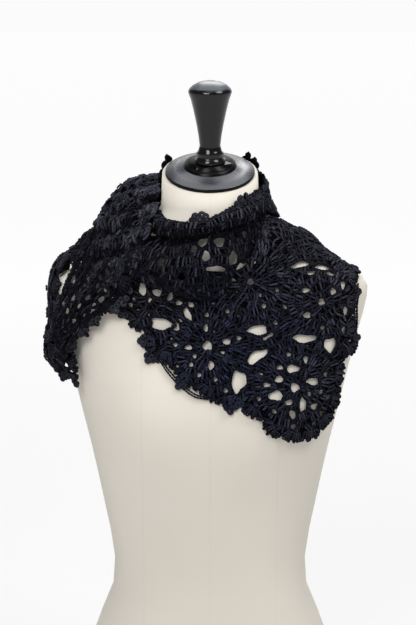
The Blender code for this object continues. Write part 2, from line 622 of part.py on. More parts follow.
def material(name, colour, roughness, coat=0.0):
    made = bpy.data.materials.new(name)
    made.use_nodes = True
    shader = made.node_tree.nodes["Principled BSDF"]
    shader.inputs["Base Color"].default_value = (*colour, 1)
    shader.inputs["Roughness"].default_value = roughness
    shader.inputs["Coat Weight"].default_value = coat
    return made


def torso_mesh():
    angles = 2 * math.pi * (np.arange(FORM_SIDES) + 0.5) / FORM_SIDES
    shoulder_levels = [0.522, 0.541, 0.553, 0.564, 0.573, 0.583, 0.595, 0.607, 0.619, 0.630, 0.640, 0.650]
    heights = [*np.linspace(0, 0.50, 15), *shoulder_levels]
    tilt = math.tan(math.radians(NECK_TILT))
    points = []
    for level in [*heights, None]:
        z = 0.66 if level is None else level
        e = 2 / float(power(z))
        c, s = np.cos(angles), np.sin(angles)
        x = form_row(z, 1) * np.sign(c) * np.abs(c) ** e
        reach = np.where(s < 0, form_row(z, 2), form_row(z, 3))
        y = reach * np.sign(s) * np.abs(s) ** e
        y = np.where(s < 0, y - bust(x, z) * np.minimum(1, 2 * np.abs(s) ** e), y)
        top = NECK_CENTRE + y * tilt if level is None else np.full_like(x, z)
        points.append(np.stack([x, y, top], 1))
    n, rows = FORM_SIDES, len(points)
    faces = [tuple(reversed(range(n))), tuple(range((rows - 1) * n, rows * n))]
    for k in range(rows - 1):
        for i in range(n):
            j = (i + 1) % n
            faces.append((k * n + i, k * n + j, (k + 1) * n + j, (k + 1) * n + i))
    return np.concatenate(points), faces


def turned(profile, sides, placement):
    """A turned solid: the profile spun about its own axis."""
    a = 2 * math.pi * np.arange(sides) / sides
    points = [Vector((r * math.cos(t), r * math.sin(t), h)) for r, h in profile for t in a]
    rows = len(profile)
    faces = [tuple(reversed(range(sides)))]
    for k in range(rows - 1):
        for i in range(sides):
            j = (i + 1) % sides
            faces.append((k * sides + i, k * sides + j, (k + 1) * sides + j, (k + 1) * sides + i))
    faces.append(tuple(range((rows - 1) * sides, rows * sides)))
    return np.array([placement @ p for p in points]), faces


def triangles(faces):
    return np.array([(f[0], f[i], f[i + 1]) for f in faces for i in range(1, len(f) - 1)])


def main():
    for obj in list(bpy.data.objects):
        bpy.data.objects.remove(obj, do_unlink=True)
    yarn = material("charcoal crochet yarn", (0.022, 0.023, 0.030), 0.95)
    linen = material("off-white form cover", (0.78, 0.76, 0.72), 0.85)
    lacquer = material("black lacquered wood", (0.012, 0.012, 0.013), 0.12, 0.6)

    torso, torso_faces = torso_mesh()
    add_object("form_torso", torso, torso_faces, linen, 50)
    seat = Matrix.Translation((0, 0, NECK_CENTRE)) @ Matrix.Rotation(math.radians(NECK_TILT), 4, "X")
    lift = Matrix.Translation((0, 0, SEAT_GAP))
    cap, cap_faces = turned(CAP_PROFILE, 48, seat @ lift)
    add_object("neck_cap", cap, cap_faces, lacquer, 35)
    stand = Matrix.Translation((0, 0, NECK_CENTRE)) @ Matrix.Rotation(math.radians(NECK_TURN), 4, "X")
    knob, knob_faces = turned(KNOB_PROFILE, 32, stand)
    top = seat @ Vector((0, 0, CAP_PROFILE[-1][1] + 2 * SEAT_GAP))
    up = (seat.to_3x3() @ Vector((0, 0, 1))).normalized()
    # The knob's lowest ring is slid along its axis until it lies in the plane of the cap's top
    axis = (stand.to_3x3() @ Vector((0, 0, 1))).normalized()
    for i in range(32):
        p = Vector(knob[i])
        knob[i] = p + axis * ((top - p).dot(up) / axis.dot(up))
    add_object("knob", knob, knob_faces, lacquer, 35)

    form = tree_of(torso, triangles(torso_faces))
    need = CLOTH / 2 + CLEAR
    sheets = (
        # name, surface, outline, gaps, spacing, stretch, laid over
        ("chest_panel", chest, mm(CHEST_OUTLINE), gaps_mm(CHEST_GAPS), 0.0105, 1.0, []),
        ("back_panel", back, mm(BACK_OUTLINE), [], 0.014, 1.0, ["chest_panel"]),
        ("back_collar", collar, rings_flat(COLLAR_OUTLINE, COLLAR_TURN, COLLAR_DOWN), [], 0.0115, 1.3,
         ["chest_panel", "back_panel"]),
        ("neck_cowl", cowl, rings_flat(COWL_OUTLINE, COWL_TURN, COWL_DOWN), gaps_ring(COWL_GAPS),
         0.0078, 1.7, []),
        ("hanging_end", end_cloth, grid_flat(END_OUTLINE, END_ALONG, END_ACROSS),
         gaps_grid(END_GAPS, END_ALONG, END_ACROSS), 0.012, 1.0, ["back_panel"]),
        ("shoulder_bundle", bundle, grid_flat(BUNDLE_OUTLINE, BUNDLE_ALONG, BUNDLE_ACROSS),
         gaps_grid(BUNDLE_GAPS, BUNDLE_ALONG, BUNDLE_ACROSS), 0.0058, 2.4,
         ["back_collar", "chest_panel", "back_panel", "neck_cowl", "hanging_end"]),
    )
    trees = {}
    for name, surface, outline, gaps, spacing, stretch, under in sheets:
        loop = scalloped(outline)
        flat, faces = triangulate(loop, clear_gaps(loop, gaps), spacing, stretch)
        points, normals = surface(flat), facing(surface, flat)
        points = laid_over(points, normals, faces, [form] + [trees[u] for u in under], need)
        solid, sides = closed_sheet(points, normals, faces, CLOTH)
        trees[name] = tree_of(solid, triangles(sides))
        add_object(name, solid, sides, yarn, 50)


def mm(rows):
    return [(x / 1000, y / 1000) for x, y in rows]


def gaps_mm(rows):
    return [gap_loop(x / 1000, y / 1000, w / 1000, h / 1000, slant) for x, y, w, h, slant in rows]


def rings_flat(rows, turn, down):
    return [(math.radians(a) * turn, t * down) for a, t in rows]


def gaps_ring(rows):
    return [
        gap_loop(math.radians(a) * COWL_TURN, t * COWL_DOWN, w / 1000, h / 1000, slant)
        for a, t, w, h, slant in rows
    ]


def grid_flat(rows, along, across):
    return [(a * along, b * across) for a, b in rows]


def gaps_grid(rows, along, across):
    return [gap_loop(a * along, b * across, w / 1000, h / 1000, slant) for a, b, w, h, slant in rows]


main()
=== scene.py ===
"""Looks of the crochet scarf on its dress form: every stretch of cloth is a thin lace ground
with its stitches, chains and picots modelled on it in yarn. Metres, +Z up."""

import math

import bmesh
import bpy
import numpy as np
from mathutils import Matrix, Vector, kdtree
from mathutils.bvhtree import BVHTree


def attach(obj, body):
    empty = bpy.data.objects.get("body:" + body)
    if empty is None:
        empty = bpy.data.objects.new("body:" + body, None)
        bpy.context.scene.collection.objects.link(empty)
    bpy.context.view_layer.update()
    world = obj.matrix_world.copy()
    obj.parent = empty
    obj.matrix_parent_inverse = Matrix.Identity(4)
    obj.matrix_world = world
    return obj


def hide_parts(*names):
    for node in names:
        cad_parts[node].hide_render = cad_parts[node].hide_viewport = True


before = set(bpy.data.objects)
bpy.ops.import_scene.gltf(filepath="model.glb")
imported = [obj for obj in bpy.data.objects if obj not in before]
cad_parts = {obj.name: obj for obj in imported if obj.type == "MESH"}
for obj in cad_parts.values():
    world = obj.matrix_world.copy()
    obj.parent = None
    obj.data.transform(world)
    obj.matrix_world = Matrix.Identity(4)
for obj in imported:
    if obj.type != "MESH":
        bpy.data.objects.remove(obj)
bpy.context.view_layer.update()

random = np.random.default_rng(11)

# Sizes of the cloth
CLOTH = 0.0030  # thickness of the crochet
CLEAR = 0.0008  # room kept between a layer and what lies under it
SCALLOP_PITCH = 0.0125  # one bump of the edging, or of a row

# Level sections of the form, in metres
FORM_ROWS = np.array([
    # height, half_width, front, back
    (0.000, 0.160, 0.103, 0.116),
    (0.050, 0.158, 0.102, 0.117),
    (0.100, 0.149, 0.095, 0.111),
    (0.141, 0.135, 0.088, 0.100),
    (0.170, 0.122, 0.083, 0.090),
    (0.200, 0.1165, 0.081, 0.083),
    (0.229, 0.119, 0.083, 0.083),
    (0.259, 0.124, 0.087, 0.085),
    (0.288, 0.130, 0.093, 0.088),
    (0.318, 0.136, 0.101, 0.091),
    (0.347, 0.142, 0.109, 0.094),
    (0.377, 0.149, 0.116, 0.097),
    (0.406, 0.156, 0.118, 0.099),
    (0.436, 0.163, 0.114, 0.101),
    (0.457, 0.168, 0.109, 0.102),
    (0.479, 0.174, 0.102, 0.102),
    (0.508, 0.181, 0.093, 0.100),
    (0.530, 0.187, 0.086, 0.097),
    (0.551, 0.190, 0.080, 0.092),
    (0.565, 0.183, 0.076, 0.089),
    (0.576, 0.160, 0.073, 0.086),
    (0.589, 0.140, 0.070, 0.082),
    (0.600, 0.124, 0.067, 0.078),
    (0.612, 0.106, 0.064, 0.073),
    (0.624, 0.087, 0.062, 0.068),
    (0.636, 0.069, 0.060, 0.063),
    (0.650, 0.059, 0.0575, 0.059),
    (0.665, 0.057, 0.057, 0.057),
    (0.700, 0.057, 0.057, 0.057),
])
BUST = {"side": 0.078, "height": 0.405, "spread_x": 0.050, "spread_z": 0.055, "depth": 0.016}

# The chest panel, drawn flat: across from the middle, down from the line 0.50 m up
CHEST_OUTLINE = [
    # across, down (mm)
    (-108, -90), (-112, -67), (-108, -51), (-96, -30), (-89, -18), (-75, -12), (-72, 3), (-70, 15),
    (-61, 21), (-52, 21), (-30, 46), (-5, 60), (5, 69), (23, 71), (33, 67), (37, 76), (47, 84),
    (61, 92), (68, 106), (88, 113), (105, 116), (123, 112), (135, 101), (144, 93), (150, 73),
    (154, 44), (157, 27), (166, 21), (171, 12), (167, -12), (168, -42), (170, -61), (171, -90),
    (168, -140), (160, -152), (150, -174), (130, -184), (110, -195), (98, -203), (87, -204), (78, -186),
    (72, -165), (68, -150), (68, -132), (69, -116), (57, -106), (45, -96), (36, -86), (20, -82), (-10, -84),
    (-50, -86), (-85, -88),
]
CHEST_GAPS = [
    # across, down, width, height (mm), slant (degrees)
    (-3, 4, 9.7, 9.7, 0), (-25, 6, 8, 5, 0), (19, -1, 9, 6, 0), (1, 27, 6, 10, 0), (-5, -17, 4, 9, 0),
    (-18, 16, 4.5, 4.5, 0), (-22, 26, 4.5, 5, 0), (6, 43, 4.5, 5, 0), (33, -5, 5, 4.5, 0),
    (-40, 3, 5, 4.5, 0),
    (129, -43, 7, 7, 0),
    (95, 33, 14, 8, 0), (79, 45, 9, 7, 10), (97, 55, 9.5, 9.5, 0), (118, 49, 14, 7, -8),
    (75, 64, 15, 10, 0), (106, 75, 7, 15, 0), (90, 72, 9, 5, 10), (94, 86, 6, 10, 20), (128, 62, 5, 4.5, 0),
    (114, 63, 4.5, 4.5, 0), (120, 78, 9, 6, 10), (65, 51, 8, 5, 0), (56, 67, 4.5, 4.5, 0),
    (80, 31, 7, 4.5, 0), (110, 23, 4.5, 8, 0), (90, 16, 5, 4.5, 0), (95, 100, 6, 5, 0),
    (129, 88, 4.5, 5, 0), (120, 98, 4.5, 4.5, 0), (73, 82, 5, 4.5, 0), (137, 70, 4.5, 5, 0),
    (134, 42, 5, 4.5, 0),
    (-56, -21, 23, 12, -5), (-39, -18, 6, 9, 0), (-26, -33, 6, 15, 28), (55, -14, 21, 10, 0),
    (54, 17, 25, 10, 33), (33, 46, 15, 23, -8), (109, -2, 26, 8, -4), (130, -13, 5, 4.5, 0),
    (139, 8, 13, 15, 0), (104, -89, 22, 6, 15), (131, -85, 17, 8, -10), (117, -78, 9, 4.5, 0),
    (140, -76, 10, 5, -20), (111, -58, 9, 4.5, 0), (112, -29, 8, 6, 0), (143, -54, 6, 7, 0),
    (-47, -67, 13, 6, 10), (-78, -62, 7, 16, 0), (-61, -58, 10, 8, 0), (-46, -53, 5, 10, -20),
    (-36, -46, 7, 4.5, 0), (-22, -44, 7, 5, -30), (-4, -32, 5, 4.5, 0), (46, -70, 6.5, 6.5, 0),
    (-92, -58, 4.5, 8, 0), (-92, -42, 4.5, 5, 0), (62, -42, 4.5, 5, 0), (75, -22, 4.5, 4.5, 0),
    (155, -60, 4.5, 9, 0), (158, -30, 4.5, 10, 0), (156, -8, 4.5, 7, 0), (95, -108, 5, 4.5, 0),
    (77, -60, 4.5, 4.5, 0), (86, -40, 4.5, 4.5, 0), (20, -36, 4.5, 4.5, 0),
    (-13, 38, 4.5, 5, 0), (18, 56, 5, 4.5, 0),
]
CHEST_PUFFS = [
    # across, down, spread_across, spread_down, height (mm)
    (45, -96, 22, 18, 16), (66, -120, 20, 22, 13), (22, -80, 26, 16, 6),
    (112, -152, 20, 30, 6),
]
CHEST_FOLDS = [
    # from_across, from_down, to_across, to_down, width, height (mm)
    (70, -110, 20, -20, 13, 3.0), (95, -110, 70, -20, 12, 2.4), (-40, -80, -60, -10, 12, 2.2),
    (128, -95, 118, -10, 13, 2.0), (30, 20, 60, 90, 12, 1.6), (-20, -60, 10, 60, 12, 1.5),
]

# The back panel, drawn flat the same way but down from the shoulder line
BACK_OUTLINE = [
    # across, down (mm)
    (172, -54), (171, -62), (164, -78), (152, -92), (120, -108), (85, -126), (50, -142), (18, -152),
    (-18, -154), (-50, -146), (-85, -132), (-115, -116), (-136, -92), (-142, -60), (-134, -36),
    (-104, -27), (-88, -34), (-72, -48), (-50, -58), (-24, -62), (0, -63), (24, -62), (50, -58), (72, -54),
    (86, -46), (98, -37), (130, -38), (155, -46),
]
BACK_FOLDS = [(-130, -50, 20, -125, 14, 2.6), (130, -50, 0, -100, 14, 2.6), (-60, -70, 60, -72, 14, 2.0)]

# Rings round the neck: azimuth (270 is the front), then radius and height at each stop down the wall:
# its edge, upper roll, hollow, lower roll, bottom and tuck
COWL_RINGS = [
    (198, 63, 648, 69, 642, 84, 636, 103, 631, 116, 625, 118, 618),
    (210, 66.0, 641, 73, 634, 83, 620, 113, 610, 119, 596, 114, 588),
    (222, 66.3, 634, 78, 628, 87, 611, 115, 590, 118, 574, 112, 567),
    (245, 64.2, 633, 79, 626, 84, 607, 108, 578, 108, 563, 99, 557),
    (270, 62.5, 640, 78, 630, 82, 609, 101, 576, 100, 557, 90, 551),
    (284, 62.5, 648, 78, 636, 82, 611, 97, 580, 98, 561, 90, 555),
    (296, 63, 653, 78, 639, 81, 614, 88, 592, 90, 578, 88, 570),
    (312, 64, 659, 77, 645, 80, 622, 83, 605, 85, 592, 85, 585),
    (330, 65, 665, 73, 650, 75, 632, 77, 620, 78, 611, 78, 604),
    (346, 65, 669, 70, 655, 73, 645, 75, 640, 77, 634, 77, 630),
]
COWL_OUTLINE = [
    # azimuth, stop
    (203, 0.0), (222, 0.0), (245, 0.0), (268, 0.0), (290, 0.0), (312, 0.0), (331, 0.0), (332, 0.8),
    (325, 1.7), (317, 2.35), (308, 2.8), (299, 2.95), (291, 2.85), (285, 3.2),
    (280, 4.0), (275, 4.8), (268, 5.0), (258, 4.9), (248, 4.6), (238, 4.3), (228, 4.1), (220, 4.0),
    (214, 3.7), (209, 3.0), (205, 2.0), (202, 1.0),
]
COWL_GAPS = [
    # azimuth, stop, width, height (mm), slant
    (264, 1.72, 10, 6, 10), (277.5, 1.8, 10, 6, -8), (245, 2.0, 4.5, 5, 0), (257, 2.0, 5, 5, 0),
    (267, 2.3, 6, 5, 0), (274, 2.8, 14, 5.5, -4), (287, 2.5, 8, 6.5, 0), (236, 2.6, 5, 4.5, 0),
    (252, 3.0, 5, 4.5, 0), (240, 3.5, 5, 4.5, 0), (262, 3.6, 5, 4.5, 0), (300, 1.7, 5, 4.5, 0),
    (232, 1.2, 5, 4.5, 0),
]
COLLAR_RINGS = [
    # the same, at its edge, middle, low and foot
    (318, 60.8, 662, 61, 657, 62, 650, 64, 643),
    (334, 61.5, 668, 63, 662, 65, 655, 67, 648),
    (348, 66, 671, 68, 663, 71, 653, 76, 640),
    (360, 67, 676, 69, 666, 72, 653, 80, 636),
    (390, 67, 686, 70, 671, 75, 650, 88, 625),
    (420, 66.5, 694, 71, 674, 78, 644, 90, 613),
    (450, 66.5, 698, 72, 674, 79, 640, 94, 599),
    (480, 66, 696, 71, 674, 78, 644, 91, 614),
    (510, 64, 690, 67, 675, 71, 660, 77, 645),
    (532, 62.5, 682, 63, 674, 65, 665, 68, 656),
]
COLLAR_OUTLINE = [
    # azimuth, stop
    (320, 0), (340, 0), (362, 0), (390, 0), (420, 0), (450, 0), (480, 0), (496, 0), (500, 1.5),
    (496, 3), (475, 3), (450, 3), (420, 3), (390, 3), (362, 3), (340, 3), (320, 3), (319, 1.5),
]

# The bundle over the wearer's right shoulder: stations from the neck to the hanging tip, and on each
# the stops across it, from its front edge over the crest to behind
BUNDLE_ROWS = [
    # x, y, z at each stop (mm)
    (-66, -38, 643, -62, -10, 662, -63, 20, 675, -58, 46, 680, -50, 66, 668),
    (-74, -58, 624, -81, -31, 651, -88, 10, 671, -88, 50, 662, -84, 78, 632),
    (-80, -77, 598, -95, -50, 631, -108, 0, 652, -114, 42, 638, -112, 78, 602),
    (-87, -92, 576, -107, -59, 604, -124, -10, 627, -134, 28, 614, -138, 60, 597),
    (-97, -92, 556, -118, -68, 584, -136, -22, 605, -149, 8, 606, -155, 32, 602),
    (-111, -90, 543, -130, -76, 560, -150, -42, 576, -162, -18, 590, -168, 10, 594),
    (-140, -81, 521, -154, -74, 534, -168, -55, 549, -178, -36, 557, -185, -14, 561),
    (-158, -74, 500, -170, -68, 508, -181, -58, 516, -189, -44, 520, -195, -28, 522),
    (-174, -74, 475, -183, -69, 481, -190, -61, 487, -195, -50, 490, -199, -38, 492),
]
BUNDLE_PLEATS = [
    # middle across, width across (0 to 4), height (mm)
    (0.30, 0.20, 8.0), (0.95, 0.22, 11.0), (1.60, 0.21, 9.0), (2.30, 0.26, 8.0), (3.1, 0.32, 6.0),
]
BUNDLE_OUTLINE = [
    # along (0 to 8), across (0 to 4)
    (0.0, 0.0), (1, 0), (2, 0), (3, 0), (4, 0), (5, 0), (6, 0), (7, 0), (8, 0), (8.0, 1.2),
    (7.8, 2.1), (7, 2.2),
    (6, 2.35), (5.2, 2.7), (4.4, 3.5), (3.7, 3.95), (3, 4), (2, 4), (1, 4), (0.0, 4.0), (0, 2),
]
BUNDLE_GAPS = [
    # along, across, width, height (mm), slant
    (5.47, 2.10, 5.5, 4.5, 0), (5.00, 1.55, 5.5, 4.0, 0), (4.87, 0.95, 6, 4.0, 0), (6.33, 1.45, 4.5, 5, 0),
    (6.37, 0.78, 5, 5.5, 0), (7.03, 0.93, 5, 8, 0), (4.13, 0.83, 6, 3.2, 0), (5.43, 0.95, 5, 4.5, 0),
    (4.90, 2.18, 4.5, 4, 0), (4.30, 1.50, 5, 3.2, 0), (5.83, 1.00, 4.5, 5, 0), (7.50, 1.13, 5, 8, 0),
    (5.63, 0.40, 4.5, 5.5, 0), (5.17, 0.55, 5, 4.5, 0), (5.23, 2.60, 4.5, 4.5, 0), (6.3, 1.9, 5, 7, 0),
    (7.4, 1.65, 6, 5, 0), (4.5, 0.5, 5, 4.5, 0), (5.85, 1.5, 5, 4.5, 0), (6.8, 1.55, 4.5, 4.5, 0),
]

# The end that comes over from the back and hangs outside the shoulder
END_ROWS = [
    # x, y, z at the front edge, the side and the back edge (mm)
    (-133, -12, 607, -143, 20, 606, -130, 62, 594),
    (-151, -16, 594, -166, 12, 595, -156, 60, 586),
    (-172, -18, 582, -185, 12, 580, -171, 58, 571),
    (-182, -28, 556, -194, 8, 554, -184, 57, 545),
    (-177, -48, 515, -195, -2, 512, -180, 52, 505),
    (-160, -66, 478, -199, -20, 474, -184, 38, 474),
    (-157, -66, 448, -182, -44, 457, -190, -2, 462),
]
END_OUTLINE = [
    # along (0 to 6), across (0 to 2)
    (0, 0), (1, 0), (2, 0), (3, 0), (4, 0), (5, 0), (6, 0), (6, 1), (6, 2), (5, 2), (4, 2), (3, 2), (2, 2),
    (1, 2), (0, 2), (0, 1),
]
END_GAPS = [
    # along, across, width, height (mm), slant
    (3.73, 0.36, 4, 5, 0), (4.15, 0.66, 4, 6, 0), (4.83, 0.40, 4.5, 4.5, 0), (5.40, 0.30, 5, 4.5, 0),
    (3.2, 0.5, 4, 6, 0), (4.40, 0.32, 4, 4.5, 0), (5.3, 0.75, 5, 4.5, 0), (4.75, 0.85, 4.5, 5, 0),
    (3.6, 0.95, 4.5, 6, 0), (5.5, 1.25, 5, 5, 0), (4.9, 1.4, 5, 5, 0), (4.3, 1.35, 5, 5, 0),
]


def lengths(points):
    """Distance along a bent line to each of its points."""
    return np.concatenate([[0], np.cumsum(np.linalg.norm(np.diff(points, axis=0), axis=1))])


def unit(vectors):
    return vectors / np.maximum(np.linalg.norm(vectors, axis=-1, keepdims=True), 1e-12)


def circle(turn):
    return np.stack([np.cos(turn), np.sin(turn)], 1)


def distance_to(spots, points):
    """How far each flat point is from the nearest of the spots."""
    tree = kdtree.KDTree(len(spots))
    for k, p in enumerate(spots):
        tree.insert((*p, 0), k)
    tree.balance()
    return np.array([tree.find((*p, 0))[2] for p in points])


def block_sum(table, mode="constant"):
    """Each cell of the table and its eight neighbours, added."""
    padded = np.pad(table, 1, mode=mode)
    rows, columns = table.shape
    return sum(padded[a : a + rows, b : b + columns] for a in (0, 1, 2) for b in (0, 1, 2))


def curve(xs, ys, x):
    """Monotone cubic through the points: no overshoot between rows."""
    xs, ys, x = (np.asarray(a, float) for a in (xs, ys, x))
    h = np.diff(xs)
    d = np.diff(ys) / h
    m = np.zeros_like(ys)
    w1, w2 = 2 * h[1:] + h[:-1], h[1:] + 2 * h[:-1]
    with np.errstate(divide="ignore", invalid="ignore"):
        mid = (w1 + w2) / (w1 / d[:-1] + w2 / d[1:])
    m[1:-1] = np.where(d[1:] * d[:-1] > 0, mid, 0)
    m[0], m[-1] = d[0], d[-1]
    i = np.clip(np.searchsorted(xs, x) - 1, 0, len(h) - 1)
    t = (x - xs[i]) / h[i]
    return (
        (1 + 2 * t) * (1 - t) ** 2 * ys[i]
        + t * (1 - t) ** 2 * h[i] * m[i]
        + t * t * (3 - 2 * t) * ys[i + 1]
        + t * t * (t - 1) * h[i] * m[i + 1]
    )


def form_row(z, column):
    return curve(FORM_ROWS[:, 0], FORM_ROWS[:, column], np.clip(z, 0, 0.70))


def power(z):
    """Roundness of a level section: squarer at the chest, a true circle at the neck."""
    return 2.25 - 0.25 * np.clip((z - 0.60) / 0.05, 0, 1)


def chord(x, z):
    p = power(z)
    return np.clip(1 - (np.abs(x) / form_row(z, 1)) ** p, 0, 1) ** (1 / p)


def bust(x, z):
    across = (np.abs(x) - BUST["side"]) / BUST["spread_x"]
    up = (z - BUST["height"]) / BUST["spread_z"]
    return BUST["depth"] * np.exp(-(across**2) - up**2)


def front_y(x, z):
    c = chord(x, z)
    return -form_row(z, 2) * c - bust(x, z) * np.minimum(1, 2 * c)


def back_y(x, z):
    return form_row(z, 3) * chord(x, z)


# The draped surface: columns across, arc length down the front (plus) and the back (minus)
YOKE_TOP, YOKE_FOOT, YOKE_HALF = 0.640, 0.600, 0.069
# Lowest and highest point of the shoulder's line, and how far out it reaches
SHOULDER_LOW, SHOULDER_HIGH, SHOULDER_END = 0.551, 0.636, 0.1895
HEM, STEP, REACH = 0.29, 0.002, 0.40
COLUMNS = np.linspace(-0.200, 0.200, 101)
LEVEL = 0.50
BODY_MIDDLE = 0.52  # height of the body's middle, which every layer faces away from


def ridge(x):
    z = np.linspace(SHOULDER_LOW, SHOULDER_HIGH, 300)
    top = YOKE_TOP - (YOKE_TOP - SHOULDER_HIGH) * (x / YOKE_HALF) ** 2
    return top if abs(x) < YOKE_HALF else float(np.interp(abs(x), form_row(z, 1)[::-1], z[::-1]))


def fall(x, wall, keep):
    """One column of cloth: it follows the wall out and down, and hangs straight where that turns in."""
    x = min(abs(x), SHOULDER_END)
    z = ridge(x) - (ridge(x) - HEM) * np.linspace(0, 1, 300) ** 2
    y = wall(np.full_like(z, x), z)
    if x < YOKE_HALF:
        y = np.where(z > YOKE_FOOT, y * np.clip((YOKE_TOP - z) / (YOKE_TOP - YOKE_FOOT), 0, 1) ** 0.5, y)
    y = keep(y)
    arc = lengths(np.stack([y, z], 1))
    s = np.arange(0, REACH, STEP)
    return np.interp(s, arc, y), np.interp(s, arc, z)


def drape_table():
    rows = []
    for x in COLUMNS:
        fy, fz = fall(x, front_y, np.minimum.accumulate)
        by, bz = fall(x, back_y, np.maximum.accumulate)
        rows.append((np.concatenate([by[:0:-1], fy]), np.concatenate([bz[:0:-1], fz])))
    table = np.array(rows)
    weights = np.array([1, 2, 3, 4, 5, 4, 3, 2, 1]) / 25
    for _ in range(2):
        for k in (0, 1):
            padded = np.pad(table[:, k], ((1, 1), (4, 4)), mode="edge")
            along = sum(padded[:, i : i + table.shape[2]] * w for i, w in enumerate(weights))
            table[:, k] = (along[:-2] + 2 * along[1:-1] + along[2:]) / 4
    return table[:, 0], table[:, 1]


DRAPE_Y, DRAPE_Z = drape_table()
SHOULDER = len(np.arange(0, REACH, STEP)) - 1
LEVEL_AT = np.array([
    np.interp(-LEVEL, -row[SHOULDER:], np.arange(len(row) - SHOULDER) * STEP) for row in DRAPE_Z
])


def drape(flat):
    """Across and down from the shoulder line to a point on the draped surface."""
    u, v = flat[:, 0], flat[:, 1]
    fu = np.clip((u - COLUMNS[0]) / (COLUMNS[1] - COLUMNS[0]), 0, len(COLUMNS) - 1.001)
    fv = np.clip(v / STEP + SHOULDER, 0, DRAPE_Y.shape[1] - 1.001)
    i, j = fu.astype(int), fv.astype(int)
    a, b = fu - i, fv - j

    def read(t):
        near, far = (t[k, j] * (1 - b) + t[k, j + 1] * b for k in (i, i + 1))
        return near * (1 - a) + far * a

    return np.stack([u, read(DRAPE_Y), read(DRAPE_Z)], 1)


def facing(surface, flat, step=0.002):
    """Unit normals that point away from the middle of the body."""
    du = surface(flat + [step, 0]) - surface(flat - [step, 0])
    dv = surface(flat + [0, step]) - surface(flat - [0, step])
    n = unit(np.cross(du, dv))
    out = surface(flat) * [1, 1, 0.6] - [0, 0, 0.6 * BODY_MIDDLE]
    return n * (1 if (n * out).sum() > 0 else -1)


def puffs(flat, table):
    h = np.zeros(len(flat))
    for across, down, wide, tall, height in table:
        u, v = (flat[:, 0] * 1000 - across) / wide, (flat[:, 1] * 1000 - down) / tall
        h += 0.001 * height * np.exp(-(u**2) - v**2)
    return h


def folds(flat, table):
    """Soft ridges along straight lines in the flat cloth, fading at their ends."""
    h = np.zeros(len(flat))
    for x0, y0, x1, y1, wide, height in table:
        start, line = np.array([x0, y0]) / 1000, np.array([x1 - x0, y1 - y0]) / 1000
        length = np.hypot(*line)
        along = (flat - start) @ line / length**2
        side = ((flat - start) @ np.array([-line[1], line[0]])) / length
        ends = np.clip((along + 0.15) / 0.3, 0, 1) * np.clip((1.15 - along) / 0.3, 0, 1)
        h += 0.001 * height * np.exp(-((side * 1000 / wide) ** 2)) * ends
    return h


def lifted(base, height):
    def surface(flat):
        return base(flat) + facing(base, flat) * height(flat)[:, None]

    return surface


def level_drape(flat):
    return drape(np.stack([flat[:, 0], flat[:, 1] + np.interp(flat[:, 0], COLUMNS, LEVEL_AT)], 1))


UNDER = CLOTH / 2 + CLEAR
chest = lifted(level_drape, lambda f: UNDER + puffs(f, CHEST_PUFFS) + folds(f, CHEST_FOLDS))
back = lifted(drape, lambda f: UNDER + folds(f, BACK_FOLDS))


def ring_surface(rings, turn_radius, stop_length):
    """A wall round the neck. Flat: metres round at turn_radius, metres down with stop_length a stop."""
    rings = np.array(rings, float)
    azimuth, r, z = rings[:, 0], rings[:, 1::2] / 1000, rings[:, 2::2] / 1000
    stops = np.arange(r.shape[1])

    def surface(flat):
        a = np.clip(np.degrees(flat[:, 0] / turn_radius), azimuth[0], azimuth[-1])
        t = np.clip(flat[:, 1] / stop_length, 0, stops[-1])
        rs = np.stack([curve(azimuth, r[:, k], a) for k in stops], 1)
        zs = np.stack([curve(azimuth, z[:, k], a) for k in stops], 1)
        radius, height = (hermite(column, t) for column in (rs, zs))
        return np.stack([radius * np.cos(np.radians(a)), radius * np.sin(np.radians(a)), height], 1)

    return surface


def hermite(table, t):
    """Smooth reading of each row of the table at its own t (0 to the last column)."""
    i = np.clip(t.astype(int), 0, table.shape[1] - 2)
    f = t - i
    rows = np.arange(len(t))
    m = np.gradient(table, axis=1)
    p0, p1, m0, m1 = table[rows, i], table[rows, i + 1], m[rows, i], m[rows, i + 1]
    start = (1 + 2 * f) * (1 - f) ** 2 * p0 + f * (1 - f) ** 2 * m0
    return start + f * f * (3 - 2 * f) * p1 + f * f * (f - 1) * m1


def loft_surface(rows, along_length, across_length):
    """A surface through rows of points. Flat: metres along, metres across."""
    points = np.array(rows, float).reshape(len(rows), -1, 3) / 1000

    def surface(flat):
        a = np.clip(flat[:, 0] / along_length, 0, points.shape[0] - 1)
        b = np.clip(flat[:, 1] / across_length, 0, points.shape[1] - 1)
        out = []
        for k in range(3):
            columns = [hermite(np.tile(points[:, j, k], (len(a), 1)), a) for j in range(points.shape[1])]
            table = np.stack(columns, 1)
            out.append(hermite(table, b))
        return np.stack(out, 1)

    return surface


COWL_TURN, COWL_DOWN = 0.090, 0.022
COLLAR_TURN, COLLAR_DOWN = 0.070, 0.022
BUNDLE_ALONG, BUNDLE_ACROSS = 0.029, 0.031
END_ALONG, END_ACROSS = 0.028, 0.040
cowl = ring_surface(COWL_RINGS, COWL_TURN, COWL_DOWN)
collar = ring_surface(COLLAR_RINGS, COLLAR_TURN, COLLAR_DOWN)
bundle_base = loft_surface(BUNDLE_ROWS, BUNDLE_ALONG, BUNDLE_ACROSS)
end_cloth = loft_surface(END_ROWS, END_ALONG, END_ACROSS)


def pleats(flat):
    across = flat[:, 1] / BUNDLE_ACROSS
    along = flat[:, 0] / BUNDLE_ALONG
    fade = np.clip(along / 1.2, 0, 1) * np.clip((8 - along) / 3, 0.15, 1)
    h = sum(height * np.exp(-(((across - middle) / wide) ** 2)) for middle, wide, height in BUNDLE_PLEATS)
    return 0.001 * h * fade


bundle = lifted(bundle_base, pleats)


